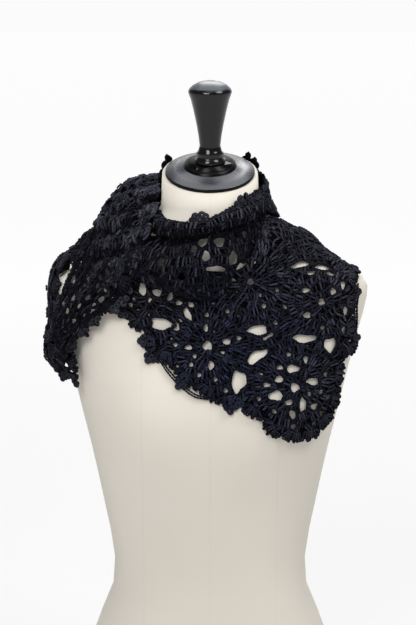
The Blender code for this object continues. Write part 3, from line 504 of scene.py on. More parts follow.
def smooth_loop(points, step):
    """A closed curve through the points, cut into equal steps."""
    p = np.array(points, float)
    fine = []
    for i in range(len(p)):
        p0, p1, p2, p3 = p[i - 1], p[i], p[(i + 1) % len(p)], p[(i + 2) % len(p)]
        for t in np.linspace(0, 1, 12, endpoint=False):
            bend = (2 * p0 - 5 * p1 + 4 * p2 - p3) * t**2 + (3 * p1 - p0 - 3 * p2 + p3) * t**3
            fine.append(0.5 * (2 * p1 + (p2 - p0) * t + bend))
    fine = np.array(fine + fine[:1])
    arc = lengths(fine)
    count = max(8, int(round(arc[-1] / step / 4)) * 4)
    s = np.arange(count) * arc[-1] / count
    return np.stack([np.interp(s, arc, fine[:, k]) for k in (0, 1)], 1)


def area(loop):
    nxt = np.roll(loop, -1, 0)
    return 0.5 * float((loop[:, 0] * nxt[:, 1] - loop[:, 1] * nxt[:, 0]).sum())


def inside(loop, points):
    x, y = points[:, 0][:, None], points[:, 1][:, None]
    x0, y0 = loop[:, 0], loop[:, 1]
    x1, y1 = np.roll(x0, -1), np.roll(y0, -1)
    crosses = (y0 > y) != (y1 > y)
    with np.errstate(divide="ignore", invalid="ignore"):
        at = x0 + (y - y0) * (x1 - x0) / (y1 - y0)
    return (crosses & (x < at)).sum(1) % 2 == 1


def flat_place(along, across):
    """Reads a table's own two numbers as a flat place: metres for one of each."""
    return lambda a, b: (a * along, b * across)


def places(place_of, rows):
    return [place_of(*row) for row in rows]


def gap_table(rows, place_of):
    """Gaps as flat places, half sizes in metres and a slant in radians."""
    return [(*place_of(a, b), wide / 2000, tall / 2000, math.radians(slant))
            for a, b, wide, tall, slant in rows]


# The charts, from flat cloth to space: the size of a cell, and how far past the outline they go
CHART_STEP, CHART_MARGIN = 0.004, 0.010
BACK_OFF, LOOK_OUT = 0.003, 0.035  # where a ray to the CAD wall starts, and how far it looks


class Chart:
    """A sheet's surface as a table of points and normals, brought to the middle of its CAD wall."""

    def __init__(self, surface, outline, node, relief, tone):
        low, high = outline.min(0) - CHART_MARGIN, outline.max(0) + CHART_MARGIN
        count = np.ceil((high - low) / CHART_STEP).astype(int) + 1
        self.low, self.count, self.relief, self.tone = low, count, relief, tone
        gu, gv = np.meshgrid(*(low[k] + np.arange(count[k]) * CHART_STEP for k in (0, 1)), indexing="ij")
        flat = np.stack([gu.ravel(), gv.ravel()], 1)
        points, normals = surface(flat), facing(surface, flat)
        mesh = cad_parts[node].data
        wall = BVHTree.FromPolygons([v.co for v in mesh.vertices], [tuple(p.vertices) for p in mesh.polygons])
        move = np.full(len(flat), np.nan)
        for k in range(len(flat)):
            n = Vector(normals[k])
            if n.length < 0.5:
                continue
            hit, face, _, distance = wall.ray_cast(Vector(points[k]) - n * BACK_OFF, n, LOOK_OUT)
            if hit is not None and face.dot(n) < 0:
                move[k] = distance - BACK_OFF + CLOTH / 2
        move = self.fill(move.reshape(count))
        points = points + normals * (move.reshape(-1, 1) + relief(flat)[:, None])
        self.points = points.reshape(*count, 3)
        du, dv = np.gradient(self.points, axis=0), np.gradient(self.points, axis=1)
        n, first = unit(np.cross(du, dv)), normals.reshape(*count, 3)
        n *= np.where((n * first).sum(2) < 0, -1, 1)[..., None]
        self.normals = np.where((np.abs((n * first).sum(2)) > 0.3)[..., None], n, first)

    @staticmethod
    def fill(move):
        """Fills the places where the wall has gaps from their neighbours, and evens out its facets."""
        known = ~np.isnan(move)
        move = np.where(known, move, 0.0)
        for _ in range(40):
            near = block_sum(known.astype(float))
            fresh = ~known & (near > 0)
            if not fresh.any():
                break
            move = np.where(fresh, block_sum(move * known) / np.maximum(near, 1), move)
            known |= fresh
        for _ in range(3):
            move = block_sum(move, "edge") / 9
        return move

    def read(self, table, flat):
        f = np.clip((flat - self.low) / CHART_STEP, 0, self.count - 1.001)
        i = f.astype(int)
        a, b = (f - i)[:, 0:1], (f - i)[:, 1:2]
        i, j = i[:, 0], i[:, 1]
        return ((table[i, j] * (1 - b) + table[i, j + 1] * b) * (1 - a)
                + (table[i + 1, j] * (1 - b) + table[i + 1, j + 1] * b) * a)

    def at(self, flat, height=0.0):
        n = unit(self.read(self.normals, flat))
        return self.read(self.points, flat) + n * np.asarray(height).reshape(-1, 1), n

    def slopes(self, flat, step=0.002):
        """How far a metre of flat cloth reaches in space, across and down."""
        ends = [(self.read(self.points, flat + d) - self.read(self.points, flat - d)) / (2 * step)
                for d in (np.array([step, 0]), np.array([0, step]))]
        return np.stack(ends, 2)


def side_step(chart, flat, ahead):
    """The flat vector that reaches one metre sideways in space, square to ahead."""
    j = chart.slopes(flat)
    _, n = chart.at(flat)
    d = np.einsum("nij,nj->ni", j, ahead)
    side = unit(np.cross(n, d))
    g = np.einsum("nki,nkj->nij", j, j) + 0.02 * np.eye(2)
    return np.linalg.solve(g, np.einsum("nki,nk->ni", j, side)[..., None])[..., 0]


# Yarn templates, in mm across and up
STITCH_LONG = 7.0  # mm that a template's length of one stands for, when its tube is squared off


def strand(path, radius, sides=4, caps=True):
    """A tube of yarn along (along, side, up) points: along has no unit, the others are mm."""
    path = np.array(path, float)
    k = len(path)
    turn = np.linspace(0, 2 * math.pi, sides, endpoint=False) + math.pi / sides
    points = []
    for i in range(k):
        d = path[min(i + 1, k - 1)] - path[max(i - 1, 0)]
        d = d * np.array([STITCH_LONG, 1, 1])
        d /= np.linalg.norm(d)
        u = np.cross(d, [0, 0, 1.0])
        u /= np.linalg.norm(u)
        w = np.cross(u, d)
        r = radius * (0.8 if caps and i in (0, k - 1) else 1.0)
        ring = np.cos(turn)[:, None] * u + np.sin(turn)[:, None] * w
        points.append(path[i] + ring * r * np.array([1 / STITCH_LONG, 1, 1]))
    faces = []
    for i, s in np.ndindex(k - 1, sides):
        near, far, following = i * sides, (i + 1) * sides, (s + 1) % sides
        faces.append((near + s, near + following, far + following, far + s))
    if caps and sides == 4:
        faces += [(3, 2, 1, 0), tuple((k - 1) * 4 + s for s in range(4))]
    return np.concatenate(points), np.array(faces)


def gather(items):
    """Shapes joined into one: each is points, faces and any values of its points."""
    start, shifted = 0, []
    for points, faces, *values in items:
        shifted.append((points, faces + start, *values))
        start += len(points)
    return [np.concatenate(column) for column in zip(*shifted)]


def twisted_post(turns=1.2, wide=0.80, deep=0.75, radius=0.98):
    """Two plies wound about each other, as the wraps of a tall stitch look."""
    parts = []
    for phase in (0, math.pi):
        a = np.linspace(-0.05, 1.05, 6)
        t = phase + 2 * math.pi * turns * a + 0.5
        parts.append(strand(np.stack([a, wide * np.cos(t), deep * np.sin(t)], 1), radius))
    return gather(parts)


def chain_link(wide=1.0, radius=0.80, up=0.45, sides=4):
    parts = []
    for s in (1, -1):
        path = [(-0.35, 0.15 * s, -up), (0.15, wide * s, 0), (0.62, wide * s, up), (1.10, 0.30 * s, up * 0.6)]
        parts.append(strand(path, radius, sides, caps=False))
    return gather(parts)


POST = twisted_post()
LINK = chain_link()
THIN_LINK = chain_link(0.95, 0.80, 0.35, 3)
# The yarn's colour is painted shade and highlight: paler where it stands up and darker where it lies low, by
# the metre: of its own height, and of the roll or crease under it
LIFT_SHADE, FOLD_SHADE = 600.0, 190.0


def place(chart, template, foot, ahead, height, wide=1.0):
    """Copies of a template laid from foot along ahead (flat), bent with the cloth."""
    shape, quads = template
    side = side_step(chart, foot + ahead / 2, ahead)
    n, v = len(foot), len(shape)
    wide = np.broadcast_to(np.asarray(wide, float), (n,))
    flat = (foot[:, None] + shape[None, :, 0:1] * ahead[:, None]
            + side[:, None] * (shape[None, :, 1:2] * 0.001 * wide[:, None, None]))
    h = np.asarray(height).reshape(-1, 1) + 0.001 * shape[None, :, 2]
    points, _ = chart.at(flat.reshape(-1, 2), h.reshape(-1))
    faces = (quads[None] + (np.arange(n) * v)[:, None, None]).reshape(-1, quads.shape[1])
    reach = np.linalg.norm(np.einsum("nij,nj->ni", chart.slopes(foot), ahead), axis=1)
    along = (shape[None, :, 0] * reach[:, None]).reshape(-1)
    # Painted shade: a roll under the stitch makes it paler and a crease darker, and the stretch's tone shifts
    # it all; up carries this painted shade into the yarn's colour
    fold_shade = FOLD_SHADE * chart.relief(foot)[:, None] + chart.tone
    up = (shape[None, :, 2] + LIFT_SHADE * np.asarray(height).reshape(-1, 1) + fold_shade).reshape(-1)
    return points, faces, along, up


def make_mesh(name, points, faces, along=None, up=None):
    mesh = bpy.data.meshes.new(name)
    mesh.from_pydata(points.tolist(), [], faces.tolist() if isinstance(faces, np.ndarray) else faces)
    mesh.update()
    mesh.shade_smooth()
    # The lift values carry painted shade to the yarn's colour: darker where it lies low, paler where it
    # stands up
    for label, values in (("strand", along), ("lift", up)):
        if values is not None:
            layer = mesh.attributes.new(label, "FLOAT", "POINT")
            layer.data.foreach_set("value", np.asarray(values, np.float32))
    obj = bpy.data.objects.new(name, mesh)
    bpy.context.scene.collection.objects.link(obj)
    return obj


# The petals of the edge: their pitch, the depth of their fans, the posts in each and the swing of their edge
PETAL_PITCH, PETAL_DEPTH, PETAL_POSTS, PETAL_SWING = 0.032, 0.0105, 7, 0.0032
FAN_FOOT_STEP = 0.0021  # between the feet of a fan's posts


def wander(flat):
    """The hand's unevenness: rows drift by a millimetre or so."""
    x, y = flat[:, 0], flat[:, 1]
    return 0.0010 * np.stack([
        np.sin(310 * x + 150 * y + 1.0) + 0.8 * np.sin(120 * x - 410 * y + 2.0),
        np.sin(280 * y - 170 * x + 0.5) + 0.8 * np.sin(390 * x + 130 * y + 4.0),
    ], 1)


def lumps(flat):
    """Uneven thickness of the cloth, in metres up."""
    x, y = flat[:, 0], flat[:, 1]
    waves = np.sin(520 * x + 330 * y) + np.sin(610 * y - 270 * x + 1.3) + np.sin(900 * x - 500 * y + 0.4)
    return 0.0005 * waves


def ridges(flat, lines, scale):
    """Folds along bent lines of the flat cloth: each is height (mm), width (mm) and its points."""
    h = np.zeros(len(flat))
    p = flat / scale
    size = np.array(scale) * 1000
    for height, width, points in lines:
        points = np.array(points, float)
        best = np.full(len(flat), 1e9)
        for a, b in zip(points[:-1], points[1:]):
            line, d = (b - a) * size, (p - a) * size
            s = np.clip(d @ line / (line @ line), 0, 1)
            best = np.minimum(best, np.linalg.norm(d - s[:, None] * line, axis=1))
        h += 0.001 * height * np.exp(-((best / width) ** 2))
    return h


POST_PITCH, LINK_PITCH = 0.0038, 0.0036
# How far the chains lie out of a gap and in from the edge, and the least room of a post beside each
GAP_CHAIN_OUT, EDGE_CHAIN_IN = 0.0015, 0.0012
GAP_ROOM, EDGE_ROOM, FAN_ROOM = 0.0012, 0.0014, 0.0030
RELIEF = 0.0020  # how far a shell of posts stands up from the cloth
ROUNDS = [
    # inner and outer radius of the posts (mm), how many groups (0 for an even round), part of a group filled
    (5.8, 12.2, 0, 1.0), (14.0, 21.6, 8, 0.74), (23.4, 29.8, 16, 0.94), (31.6, 38.0, 8, 0.93),
    (39.8, 46.2, 16, 0.92), (48.0, 54.4, 0, 1.0), (56.2, 62.6, 0, 1.0), (64.4, 70.8, 0, 1.0),
    (72.6, 79.0, 0, 1.0),
]
CHAIN_ROUNDS = [5.2, 13.1, 22.5, 30.7, 38.9, 47.1, 55.3, 63.5, 71.7]


def flower_rows(centres):
    """Posts and chain rounds of the crochet flowers, each kept to its own flower."""
    rows = [[] for _ in range(5)]
    centres = np.array(centres)

    def own(a, b, k):
        d = np.linalg.norm(((a + b) / 2)[:, None] - centres[None], axis=2)
        return d.argmin(1) == k

    def add(columns, values, keep):
        for column, value in zip(columns, values):
            column.append(value[keep])

    for k, c in enumerate(centres):
        start = 0.7 * k
        for r0, r1, groups, filled in ROUNDS:
            middle = (r0 + r1) / 2000
            if groups:
                each = max(2, int(round(2 * math.pi * middle / groups * filled / POST_PITCH)))
                spread = (np.arange(each) - (each - 1) / 2) * POST_PITCH / middle
                fan = 0.84 if r1 < 30 else 1.10
                base = np.repeat(2 * math.pi * np.arange(groups) / groups, each) + start
                a0, a1 = base + np.tile(spread, groups) / fan, base + np.tile(spread, groups) * fan
                lift = RELIEF * np.cos(np.linspace(-1.1, 1.1, each))[None].repeat(groups, 0).ravel()
            else:
                count = int(round(2 * math.pi * middle / POST_PITCH))
                a0 = a1 = 2 * math.pi * np.arange(count) / count + start
                lift = 0.7 * RELIEF * np.abs(np.sin(a0 * max(4, round(middle * 1000 / 6))))
            foot, head = c + circle(a0) * r0 / 1000, c + circle(a1) * r1 / 1000
            add(rows[:3], (foot, head, lift), own(foot, head, k))
        for r in CHAIN_ROUNDS:
            count = int(round(2 * math.pi * r / 1000 / LINK_PITCH))
            ring = c + circle(2 * math.pi * np.arange(count + 1) / count + start) * r / 1000
            add(rows[3:], (ring[:-1], ring[1:]), own(ring[1:], ring[:-1], k))
    return [np.concatenate(x) for x in rows]


def level_rows(chart, outline, step, along, group, hole):
    """Rows of posts for gathered cloth: stitches at equal steps in space along each row."""
    across = 1 - along
    low, high = outline.min(0), outline.max(0)
    rows = [[] for _ in range(5)]

    def flat_line(x, at):
        line = np.zeros((len(x), 2))
        line[:, across], line[:, along] = x, at
        return line

    for k, at in enumerate(np.arange(low[along] + 0.001, high[along], step)):
        x = np.linspace(low[across], high[across], 400)
        arc = lengths(chart.at(flat_line(x, at + step / 2))[0])
        stagger = 0.5 * (k % 2)
        s = np.arange(stagger * POST_PITCH, arc[-1], POST_PITCH)
        lift = RELIEF * np.abs(np.sin(math.pi * s / SCALLOP_PITCH + stagger * math.pi)) - 0.0002
        posts = np.interp(s, arc, x)
        if group:
            some = (np.arange(len(posts)) + 2 * k) % group < group * (1 - hole)
            posts, lift = posts[some], lift[some]
        links = np.interp(np.arange(stagger * LINK_PITCH, arc[-1], LINK_PITCH), arc, x)
        ring = flat_line(links, at)
        foot, head = flat_line(posts, at + 0.0006), flat_line(posts, at + step - 0.0009)
        for column, value in zip(rows, (foot, head, lift, ring[:-1], ring[1:])):
            column.append(value)
    return [np.concatenate(x) for x in rows]


def uneven(x, y, turn):
    """The yarn pulls each gap's edge out of true: a factor for the radius at each turn."""
    p, q = 900 * x + 500 * y, 700 * y - 400 * x
    return 1 + 0.13 * np.sin(3 * turn + p) + 0.09 * np.sin(5 * turn + q)


def ellipse_depth(gaps, points):
    """How far each point is outside every gap: gaps are x, y, half width, half height, slant in radians."""
    best = np.full(len(points), 1.0)
    for x, y, a, b, slant in gaps:
        c, s = math.cos(slant), math.sin(slant)
        d = points - [x, y]
        p = np.stack([d[:, 0] * c - d[:, 1] * s, d[:, 0] * s + d[:, 1] * c], 1)
        q = np.sqrt((p[:, 0] / a) ** 2 + (p[:, 1] / b) ** 2) + 1e-9
        q /= uneven(x, y, np.arctan2(p[:, 1] / b, p[:, 0] / a))
        best = np.minimum(best, (q - 1) * np.linalg.norm(p, axis=1) / q)
    return best


def outline_depth(loop, points):
    """How far each point is inside the outline."""
    d = distance_to(loop, points)
    return np.where(inside(loop, points), d, -d)


def trimmed(foot, head, room, least):
    """Cuts each stitch back to the longest stretch of it that lies on the cloth."""
    t = np.linspace(0, 1, 11)
    samples = foot[:, None] + (head - foot)[:, None] * t[None, :, None]
    good = (room(samples.reshape(-1, 2)) > 0).reshape(len(foot), -1)
    spans = []
    for k, row in enumerate(good):
        best, start = (0, 0, 0), None
        for i, ok in enumerate([*row, False]):
            if ok and start is None:
                start = i
            if not ok and start is not None:
                best, start = max(best, (i - 1 - start, start, i - 1)), None
        if best[0] >= least * 10:
            spans.append((k, t[best[1]], t[best[2]]))
    spans = np.array(spans).reshape(-1, 3)
    keep = spans[:, 0].astype(int)
    f, d = foot[keep], (head - foot)[keep]
    return f + d * spans[:, 1:2], f + d * spans[:, 2:3], keep


def stepped(chart, flat, pitch, least=1, whole=round):
    """The bent line cut into steps of equal length in space, each about a pitch long."""
    arc = lengths(chart.at(flat)[0])
    at = np.linspace(0, arc[-1], max(least, int(whole(arc[-1] / pitch))) + 1)
    return np.stack([np.interp(at, arc, flat[:, k]) for k in (0, 1)], 1)


def gap_chains(gaps, chart):
    """Links that run round each gap, on the cloth's side of its edge."""
    rings = [np.zeros((1, 2))]
    turn = np.linspace(0, 2 * math.pi, 73)
    for x, y, a, b, slant in gaps:
        p = circle(turn) * (uneven(x, y, turn)[:, None] * [a, b] + GAP_CHAIN_OUT)
        c, s = math.cos(slant), math.sin(slant)
        p = np.array([x, y]) + np.stack([p[:, 0] * c + p[:, 1] * s, -p[:, 0] * s + p[:, 1] * c], 1)
        rings.append(stepped(chart, p, LINK_PITCH, 5))
    return (np.concatenate(side) for side in zip(*((ring[:-1], ring[1:]) for ring in rings)))


def outward(loop):
    """Unit flat vectors out of the loop."""
    ahead = np.roll(loop, -1, 0) - np.roll(loop, 1, 0)
    return unit(np.stack([ahead[:, 1], -ahead[:, 0]], 1)) * (1 if area(loop) > 0 else -1)


def closed(loop):
    return np.concatenate([loop, loop[:1]])


def petal_edge(chart, loop, where, pitch, deep):
    """Pushes the edge out in lobes, one for each petal, and gives the fans of posts that fill them."""
    arc = lengths(chart.at(closed(loop))[0])
    count = int(arc[-1] / pitch)
    turn = arc[:-1] / arc[-1] * count
    here = np.array([where(p) for p in loop])
    soft = sum(np.roll(here, k).astype(float) for k in range(-5, 6)) / 11
    lobed = loop + outward(loop) * (soft * deep * (np.abs(np.sin(math.pi * turn)) - 0.45))[:, None]
    out = outward(lobed)
    feet, heads, lifts = [], [], []
    for k in range(count):
        at = np.interp([k + 0.5], turn, np.arange(len(loop)))[0]
        i = int(at)
        if not here[i]:
            continue
        base = lobed[i] - out[i] * PETAL_DEPTH
        tips = np.interp(np.linspace(k + 0.07, k + 0.93, PETAL_POSTS), turn, np.arange(len(loop))).astype(int)
        ends = lobed[tips] - out[tips] * 0.0016
        spread = (np.arange(PETAL_POSTS) - (PETAL_POSTS - 1) / 2)[:, None] * FAN_FOOT_STEP
        along = np.array([-out[i][1], out[i][0]])
        along = along * (1 if (ends[-1] - ends[0]) @ along > 0 else -1)
        feet.append(base + along * spread)
        heads.append(ends)
        lifts.append(0.0004 + 0.0008 * np.cos(np.linspace(-1.3, 1.3, PETAL_POSTS)))
    if not feet:
        return lobed, np.zeros((0, 2)), np.zeros((0, 2)), np.zeros(0)
    return lobed, np.concatenate(feet), np.concatenate(heads), np.concatenate(lifts)


def edge_chain(loop, chart):
    ring = stepped(chart, closed(loop - outward(loop) * EDGE_CHAIN_IN), LINK_PITCH)
    return ring[:-1], ring[1:]


# The lace ground: its cells, its thickness, how far it reaches from a stitch and back from an edge
GROUND_STEP, GROUND_WALL, COVER, SHY = 0.002, 0.0009, 0.0023, 0.0003
ON_EDGE = (0.02, 0.98)  # the part of a cell's edge that the ground's outline may cross


def cell_polygons(solid):
    """The covered part of every cell of a grid, as numbers: corners, then places on the cells' edges."""
    nx, ny = solid.shape
    total = nx * ny
    ids = np.arange(total).reshape(nx, ny)
    code = solid[:-1, :-1] + 2 * solid[1:, :-1] + 4 * solid[1:, 1:] + 8 * solid[:-1, 1:]
    corner = [ids[:-1, :-1], ids[1:, :-1], ids[1:, 1:], ids[:-1, 1:]]
    edge = [total + ids[:-1, :-1], 2 * total + ids[1:, :-1], total + ids[:-1, 1:], 2 * total + ids[:-1, :-1]]
    polygons = []
    for case in range(1, 16):
        where = code == case
        if not where.any():
            continue
        walk = []
        for k in range(4):
            if case >> k & 1:
                walk.append(corner[k][where])
            if (case >> k & 1) != (case >> ((k + 1) % 4) & 1):
                walk.append(edge[k][where])
        polygons += np.stack(walk, 1).tolist()
    return polygons, ids


def lace_ground(name, chart, loop, gaps, stitch_spots):
    """A thin wall wherever a stitch is near: its openings are the lace's own."""
    low, high = loop.min(0) - 2 * GROUND_STEP, loop.max(0) + 2 * GROUND_STEP
    nx, ny = np.ceil((high - low) / GROUND_STEP).astype(int) + 1
    sides = (low[k] + np.arange(n) * GROUND_STEP for k, n in ((0, nx), (1, ny)))
    g = np.stack(np.meshgrid(*sides, indexing="ij"), 2)
    flat = g.reshape(-1, 2)
    field = np.minimum(COVER - distance_to(stitch_spots, flat), ellipse_depth(gaps, flat) - SHY)
    field = np.minimum(field, outline_depth(loop, flat) - SHY)
    f = np.where(np.abs(field) < 1e-6, 1e-6, field).reshape(nx, ny)
    polygons, ids = cell_polygons(f > 0)
    total = nx * ny
    place_of = np.zeros((3 * total, 2))
    place_of[:total] = flat
    with np.errstate(divide="ignore", invalid="ignore"):
        t = np.clip(f[:-1] / (f[:-1] - f[1:]), *ON_EDGE)[..., None]
        place_of[total + ids[:-1].ravel()] = (g[:-1] * (1 - t) + g[1:] * t).reshape(-1, 2)
        t = np.clip(f[:, :-1] / (f[:, :-1] - f[:, 1:]), *ON_EDGE)[..., None]
        place_of[2 * total + ids[:, :-1].ravel()] = (g[:, :-1] * (1 - t) + g[:, 1:] * t).reshape(-1, 2)
    used = np.unique(np.concatenate([np.array(p) for p in polygons]))
    remap = np.full(3 * total, -1)
    remap[used] = np.arange(len(used))
    polygons = [[int(remap[i]) for i in p] for p in polygons]
    middle, n = chart.at(place_of[used])
    first = polygons[len(polygons) // 2]
    turn = np.cross(middle[first[1]] - middle[first[0]], middle[first[2]] - middle[first[0]])
    if turn @ n[first[0]] < 0:
        polygons = [p[::-1] for p in polygons]
    count = len(used)
    taken = {(p[k - 1], p[k]) for p in polygons for k in range(len(p))}
    rim = [(a, b) for a, b in taken if (b, a) not in taken]
    faces = polygons + [[i + count for i in p[::-1]] for p in polygons]
    faces += [[b, a, a + count, b + count] for a, b in rim]
    points = np.concatenate([middle + n * GROUND_WALL / 2, middle - n * GROUND_WALL / 2])
    return make_mesh(name, points, faces)


# Picots and knots of the edge: how often a picot comes, and the radius of each loop and of its yarn
PICOT_STEP, PICOT_LOOP, PICOT_YARN = 0.0050, 0.00145, 0.0012
KNOT_LOOP, KNOT_YARN = 0.0018, 0.0014
STANDING = 1.4  # a knot over this size is on the rim of a wall round the neck, and stands up
KNOT_SPOTS = ((-3.6, 2.0, 1.0), (0.0, 4.8, 1.1), (3.6, 2.0, 1.0), (0.2, 1.0, 1.0))  # aside, out (mm), size


def yarn_ring(centre, up, out, radius, tube, sides=8, around=5):
    """A small loop of yarn, as a picot is: points, quads, length along it and the height that paints its top
    paler and its underside darker, a painted shade.
    """
    u = np.cross(up, out)
    u /= np.linalg.norm(u)
    w = np.cross(u, up)
    a = np.linspace(0, 2 * math.pi, sides, endpoint=False)
    b = np.linspace(0, 2 * math.pi, around, endpoint=False)
    spoke = np.cos(a)[:, None] * u + np.sin(a)[:, None] * w
    reach = (radius + tube * np.cos(b))[None, :, None]
    points = centre + spoke[:, None] * reach + up * (tube * np.sin(b))[None, :, None]
    i, s = np.meshgrid(np.arange(sides), np.arange(around), indexing="ij")
    n, m = (i + 1) % sides, (s + 1) % around
    faces = np.stack([i * around + s, i * around + m, n * around + m, n * around + s], 2).reshape(-1, 4)
    # Painted shade: the loop's top is coloured paler and its underside darker
    lift = np.broadcast_to(1000 * tube * np.sin(b), (sides, around)).ravel() + 0.3
    return points.reshape(-1, 3), faces, np.repeat(radius * a, around), lift


def edge_frames(chart, loop, spots):
    """Place, outward, forward and normal at each spot of the edge."""
    for k in spots:
        t = loop[(k + 1) % len(loop)] - loop[k - 1]
        j = chart.slopes(loop[k : k + 1])[0]
        at, n = chart.at(loop[k : k + 1])
        ahead = j @ t
        ahead /= max(np.linalg.norm(ahead), 1e-9)
        out = np.cross(ahead, n[0])
        flat_out = np.array([t[1], -t[0]]) * (1 if area(loop) > 0 else -1)
        out *= 1 if (j @ flat_out) @ out > 0 else -1
        yield at[0], out, ahead, n[0]


def picots(chart, loop, where, knots, knot_size):
    """The edge: a small loop every few millimetres, and here and there a knot of four."""
    arc = lengths(chart.at(closed(loop))[0])
    count = int(arc[-1] / PICOT_STEP)
    at = (np.arange(count) + 0.3 * random.random(count)) * arc[-1] / count
    spots = [int(np.searchsorted(arc, a)) % len(loop) for a in at]
    spots = [k for k in spots if where(loop[k])]
    items = []
    for centre, out, ahead, n in edge_frames(chart, loop, spots):
        push, tilt = 0.0004 + 0.0011 * random.random(), 0.5 * random.normal()
        up = n * math.cos(tilt) + ahead * math.sin(tilt)
        spot = centre + out * push + n * 0.0005 * random.normal()
        items.append(yarn_ring(spot, up, out, PICOT_LOOP, PICOT_YARN))
    nearest = [int(np.linalg.norm(loop - np.array(k), axis=1).argmin()) for k in knots]
    for knot, (centre, out, ahead, n) in zip(knots, edge_frames(chart, loop, nearest)):
        if knot_size > STANDING:
            # It is as high above the rim as its place is above the edge
            centre = chart.at(np.array([knot]))[0][0] + np.array([0, 0, max(0.0, -knot[1])])
            n, out = centre * (1, 1, 0) / np.hypot(*centre[:2]), np.array([0.0, 0.0, 1.0])
        for side, push, size in KNOT_SPOTS:
            jig, size = 0.0004 * random.standard_normal(3), size * knot_size
            spot = centre + ahead * (0.001 * side * knot_size + jig[0]) + n * (0.0008 + jig[2])
            spot = spot + out * (0.001 * push * knot_size + jig[1])
            tilt = 0.4 * random.normal()
            up = n * math.cos(tilt) + ahead * math.sin(tilt)
            items.append(yarn_ring(spot, up, out, KNOT_LOOP * size, KNOT_YARN * size))
    return gather(items)


def srgb(code):
    """A colour written as six hexadecimal digits, in linear light."""
    values = [int(code[k : k + 2], 16) / 255 for k in (0, 2, 4)]
    return (*[v / 12.92 if v <= 0.04045 else ((v + 0.055) / 1.055) ** 2.4 for v in values], 1)


def add_node(tree, kind, values=None, links=None, **settings):
    """A node with its settings, its input values and the sockets that feed it."""
    node = tree.nodes.new(kind)
    for key, value in settings.items():
        setattr(node, key, value)
    for key, value in (values or {}).items():
        node.inputs[key].default_value = value
    for key, socket in (links or {}).items():
        tree.links.new(socket, node.inputs[key])
    return node


def new_material(name, values):
    """A material with plain values on its shader: it, its nodes, the shader and the place on the piece."""
    made = bpy.data.materials.new(name)
    made.use_nodes = True
    tree = made.node_tree
    shader = tree.nodes["Principled BSDF"]
    for key, value in values.items():
        shader.inputs[key].default_value = value
    return made, tree, shader, add_node(tree, "ShaderNodeTexCoord").outputs["Object"]


def attribute(tree, name):
    return add_node(tree, "ShaderNodeAttribute", attribute_name=name).outputs["Fac"]


def noise(tree, where, scale, detail):
    values = {"Scale": scale, "Detail": detail}
    return add_node(tree, "ShaderNodeTexNoise", values, {"Vector": where}).outputs["Fac"]


def maths(tree, operation, *terms):
    """One step of arithmetic: each term is a number or a socket."""
    fed = {k: term for k, term in enumerate(terms) if isinstance(term, bpy.types.NodeSocket)}
    fixed = {k: term for k, term in enumerate(terms) if k not in fed}
    return add_node(tree, "ShaderNodeMath", fixed, fed, operation=operation).outputs[0]


def ranged(tree, value, low, high, at_low=0.0, at_high=1.0, **settings):
    """The value carried over from one range to another."""
    ends = {"From Min": low, "From Max": high, "To Min": at_low, "To Max": at_high}
    return add_node(tree, "ShaderNodeMapRange", ends, {"Value": value}, **settings).outputs["Result"]


def distance_from(tree, where, point):
    node = add_node(tree, "ShaderNodeVectorMath", {1: point}, {0: where}, operation="DISTANCE")
    return node.outputs["Value"]


def along_axis(tree, where, axis):
    return add_node(tree, "ShaderNodeSeparateXYZ", {}, {"Vector": where}).outputs[axis]


def shades(tree, value, *stops):
    """A colour ramp: each stop is a place from 0 to 1 and a colour."""
    ramp = add_node(tree, "ShaderNodeValToRGB", {}, {"Fac": value})
    points = ramp.color_ramp.elements
    for k, (at, colour) in ((0, stops[0]), (1, stops[-1])):
        points[k].position, points[k].color = at, srgb(colour)
    for at, colour in stops[1:-1]:
        points.new(at).color = srgb(colour)
    return ramp.outputs["Color"]


def blend(tree, share, first, second):
    """Two colours mixed: each is a code or a socket."""
    node = add_node(tree, "ShaderNodeMix", {}, {"Factor": share}, data_type="RGBA")
    for socket, colour in ((node.inputs[6], first), (node.inputs[7], second)):
        if isinstance(colour, str):
            socket.default_value = srgb(colour)
        else:
            tree.links.new(colour, socket)
    return node.outputs[2]


def bumped(tree, shader, height, strength, distance, invert=False):
    bump = add_node(tree, "ShaderNodeBump", {"Strength": strength, "Distance": distance}, {"Height": height})
    bump.invert = invert
    tree.links.new(bump.outputs["Normal"], shader.inputs["Normal"])


YARN_TWIST = 0.0016  # one turn of the ply
BLUER_AT = (0.03, -0.12, 0.49)  # the middle of the cloth, where the dye is bluer


def yarn_material():
    """Matt four ply yarn: uneven dye, a twist along the strand, a fuzzy surface and painted shade, darker low
    and paler high.
    """
    made, tree, shader, where = new_material("black cotton yarn", {
        "Roughness": 0.9, "Specular IOR Level": 0.02, "Sheen Weight": 0.02, "Sheen Roughness": 0.6,
        "Sheen Tint": srgb("9AA0B4"),
    })
    speck = noise(tree, where, 650.0, 2.0)
    # Painted shade: the lift values make the yarn darker where it lies low or in a crease and paler on its
    # crests, with a random speckle added
    height_shade = ranged(tree, attribute(tree, "lift"), -1.4, 3.2)
    tone = maths(tree, "ADD", height_shade, maths(tree, "MULTIPLY_ADD", speck, 0.60, -0.30))
    # Two dye lots: neutral black, and the bluer black of the cloth's middle; each runs from painted shade low
    # in the stitches to a painted highlight on their tops
    neutral = shades(tree, tone, (0.10, "030304"), (0.55, "16161B"), (0.95, "45454E"))
    bluer = shades(tree, tone, (0.10, "030304"), (0.55, "13141C"), (0.95, "34374A"))
    cloud, middle = noise(tree, where, 9.0, 2.0), distance_from(tree, where, BLUER_AT)
    far = maths(tree, "MULTIPLY_ADD", cloud, 0.12, middle)
    dyed = blend(tree, ranged(tree, far, 0.11, 0.21, 1.0, 0.1), neutral, bluer)
    tree.links.new(dyed, shader.inputs["Base Color"])
    ply = maths(tree, "SINE", maths(tree, "MULTIPLY", attribute(tree, "strand"), 2 * math.pi / YARN_TWIST))
    fuzz = maths(tree, "MULTIPLY", speck, 1.5)
    bumped(tree, shader, maths(tree, "ADD", ply, fuzz), 0.7, 0.00022)
    return made


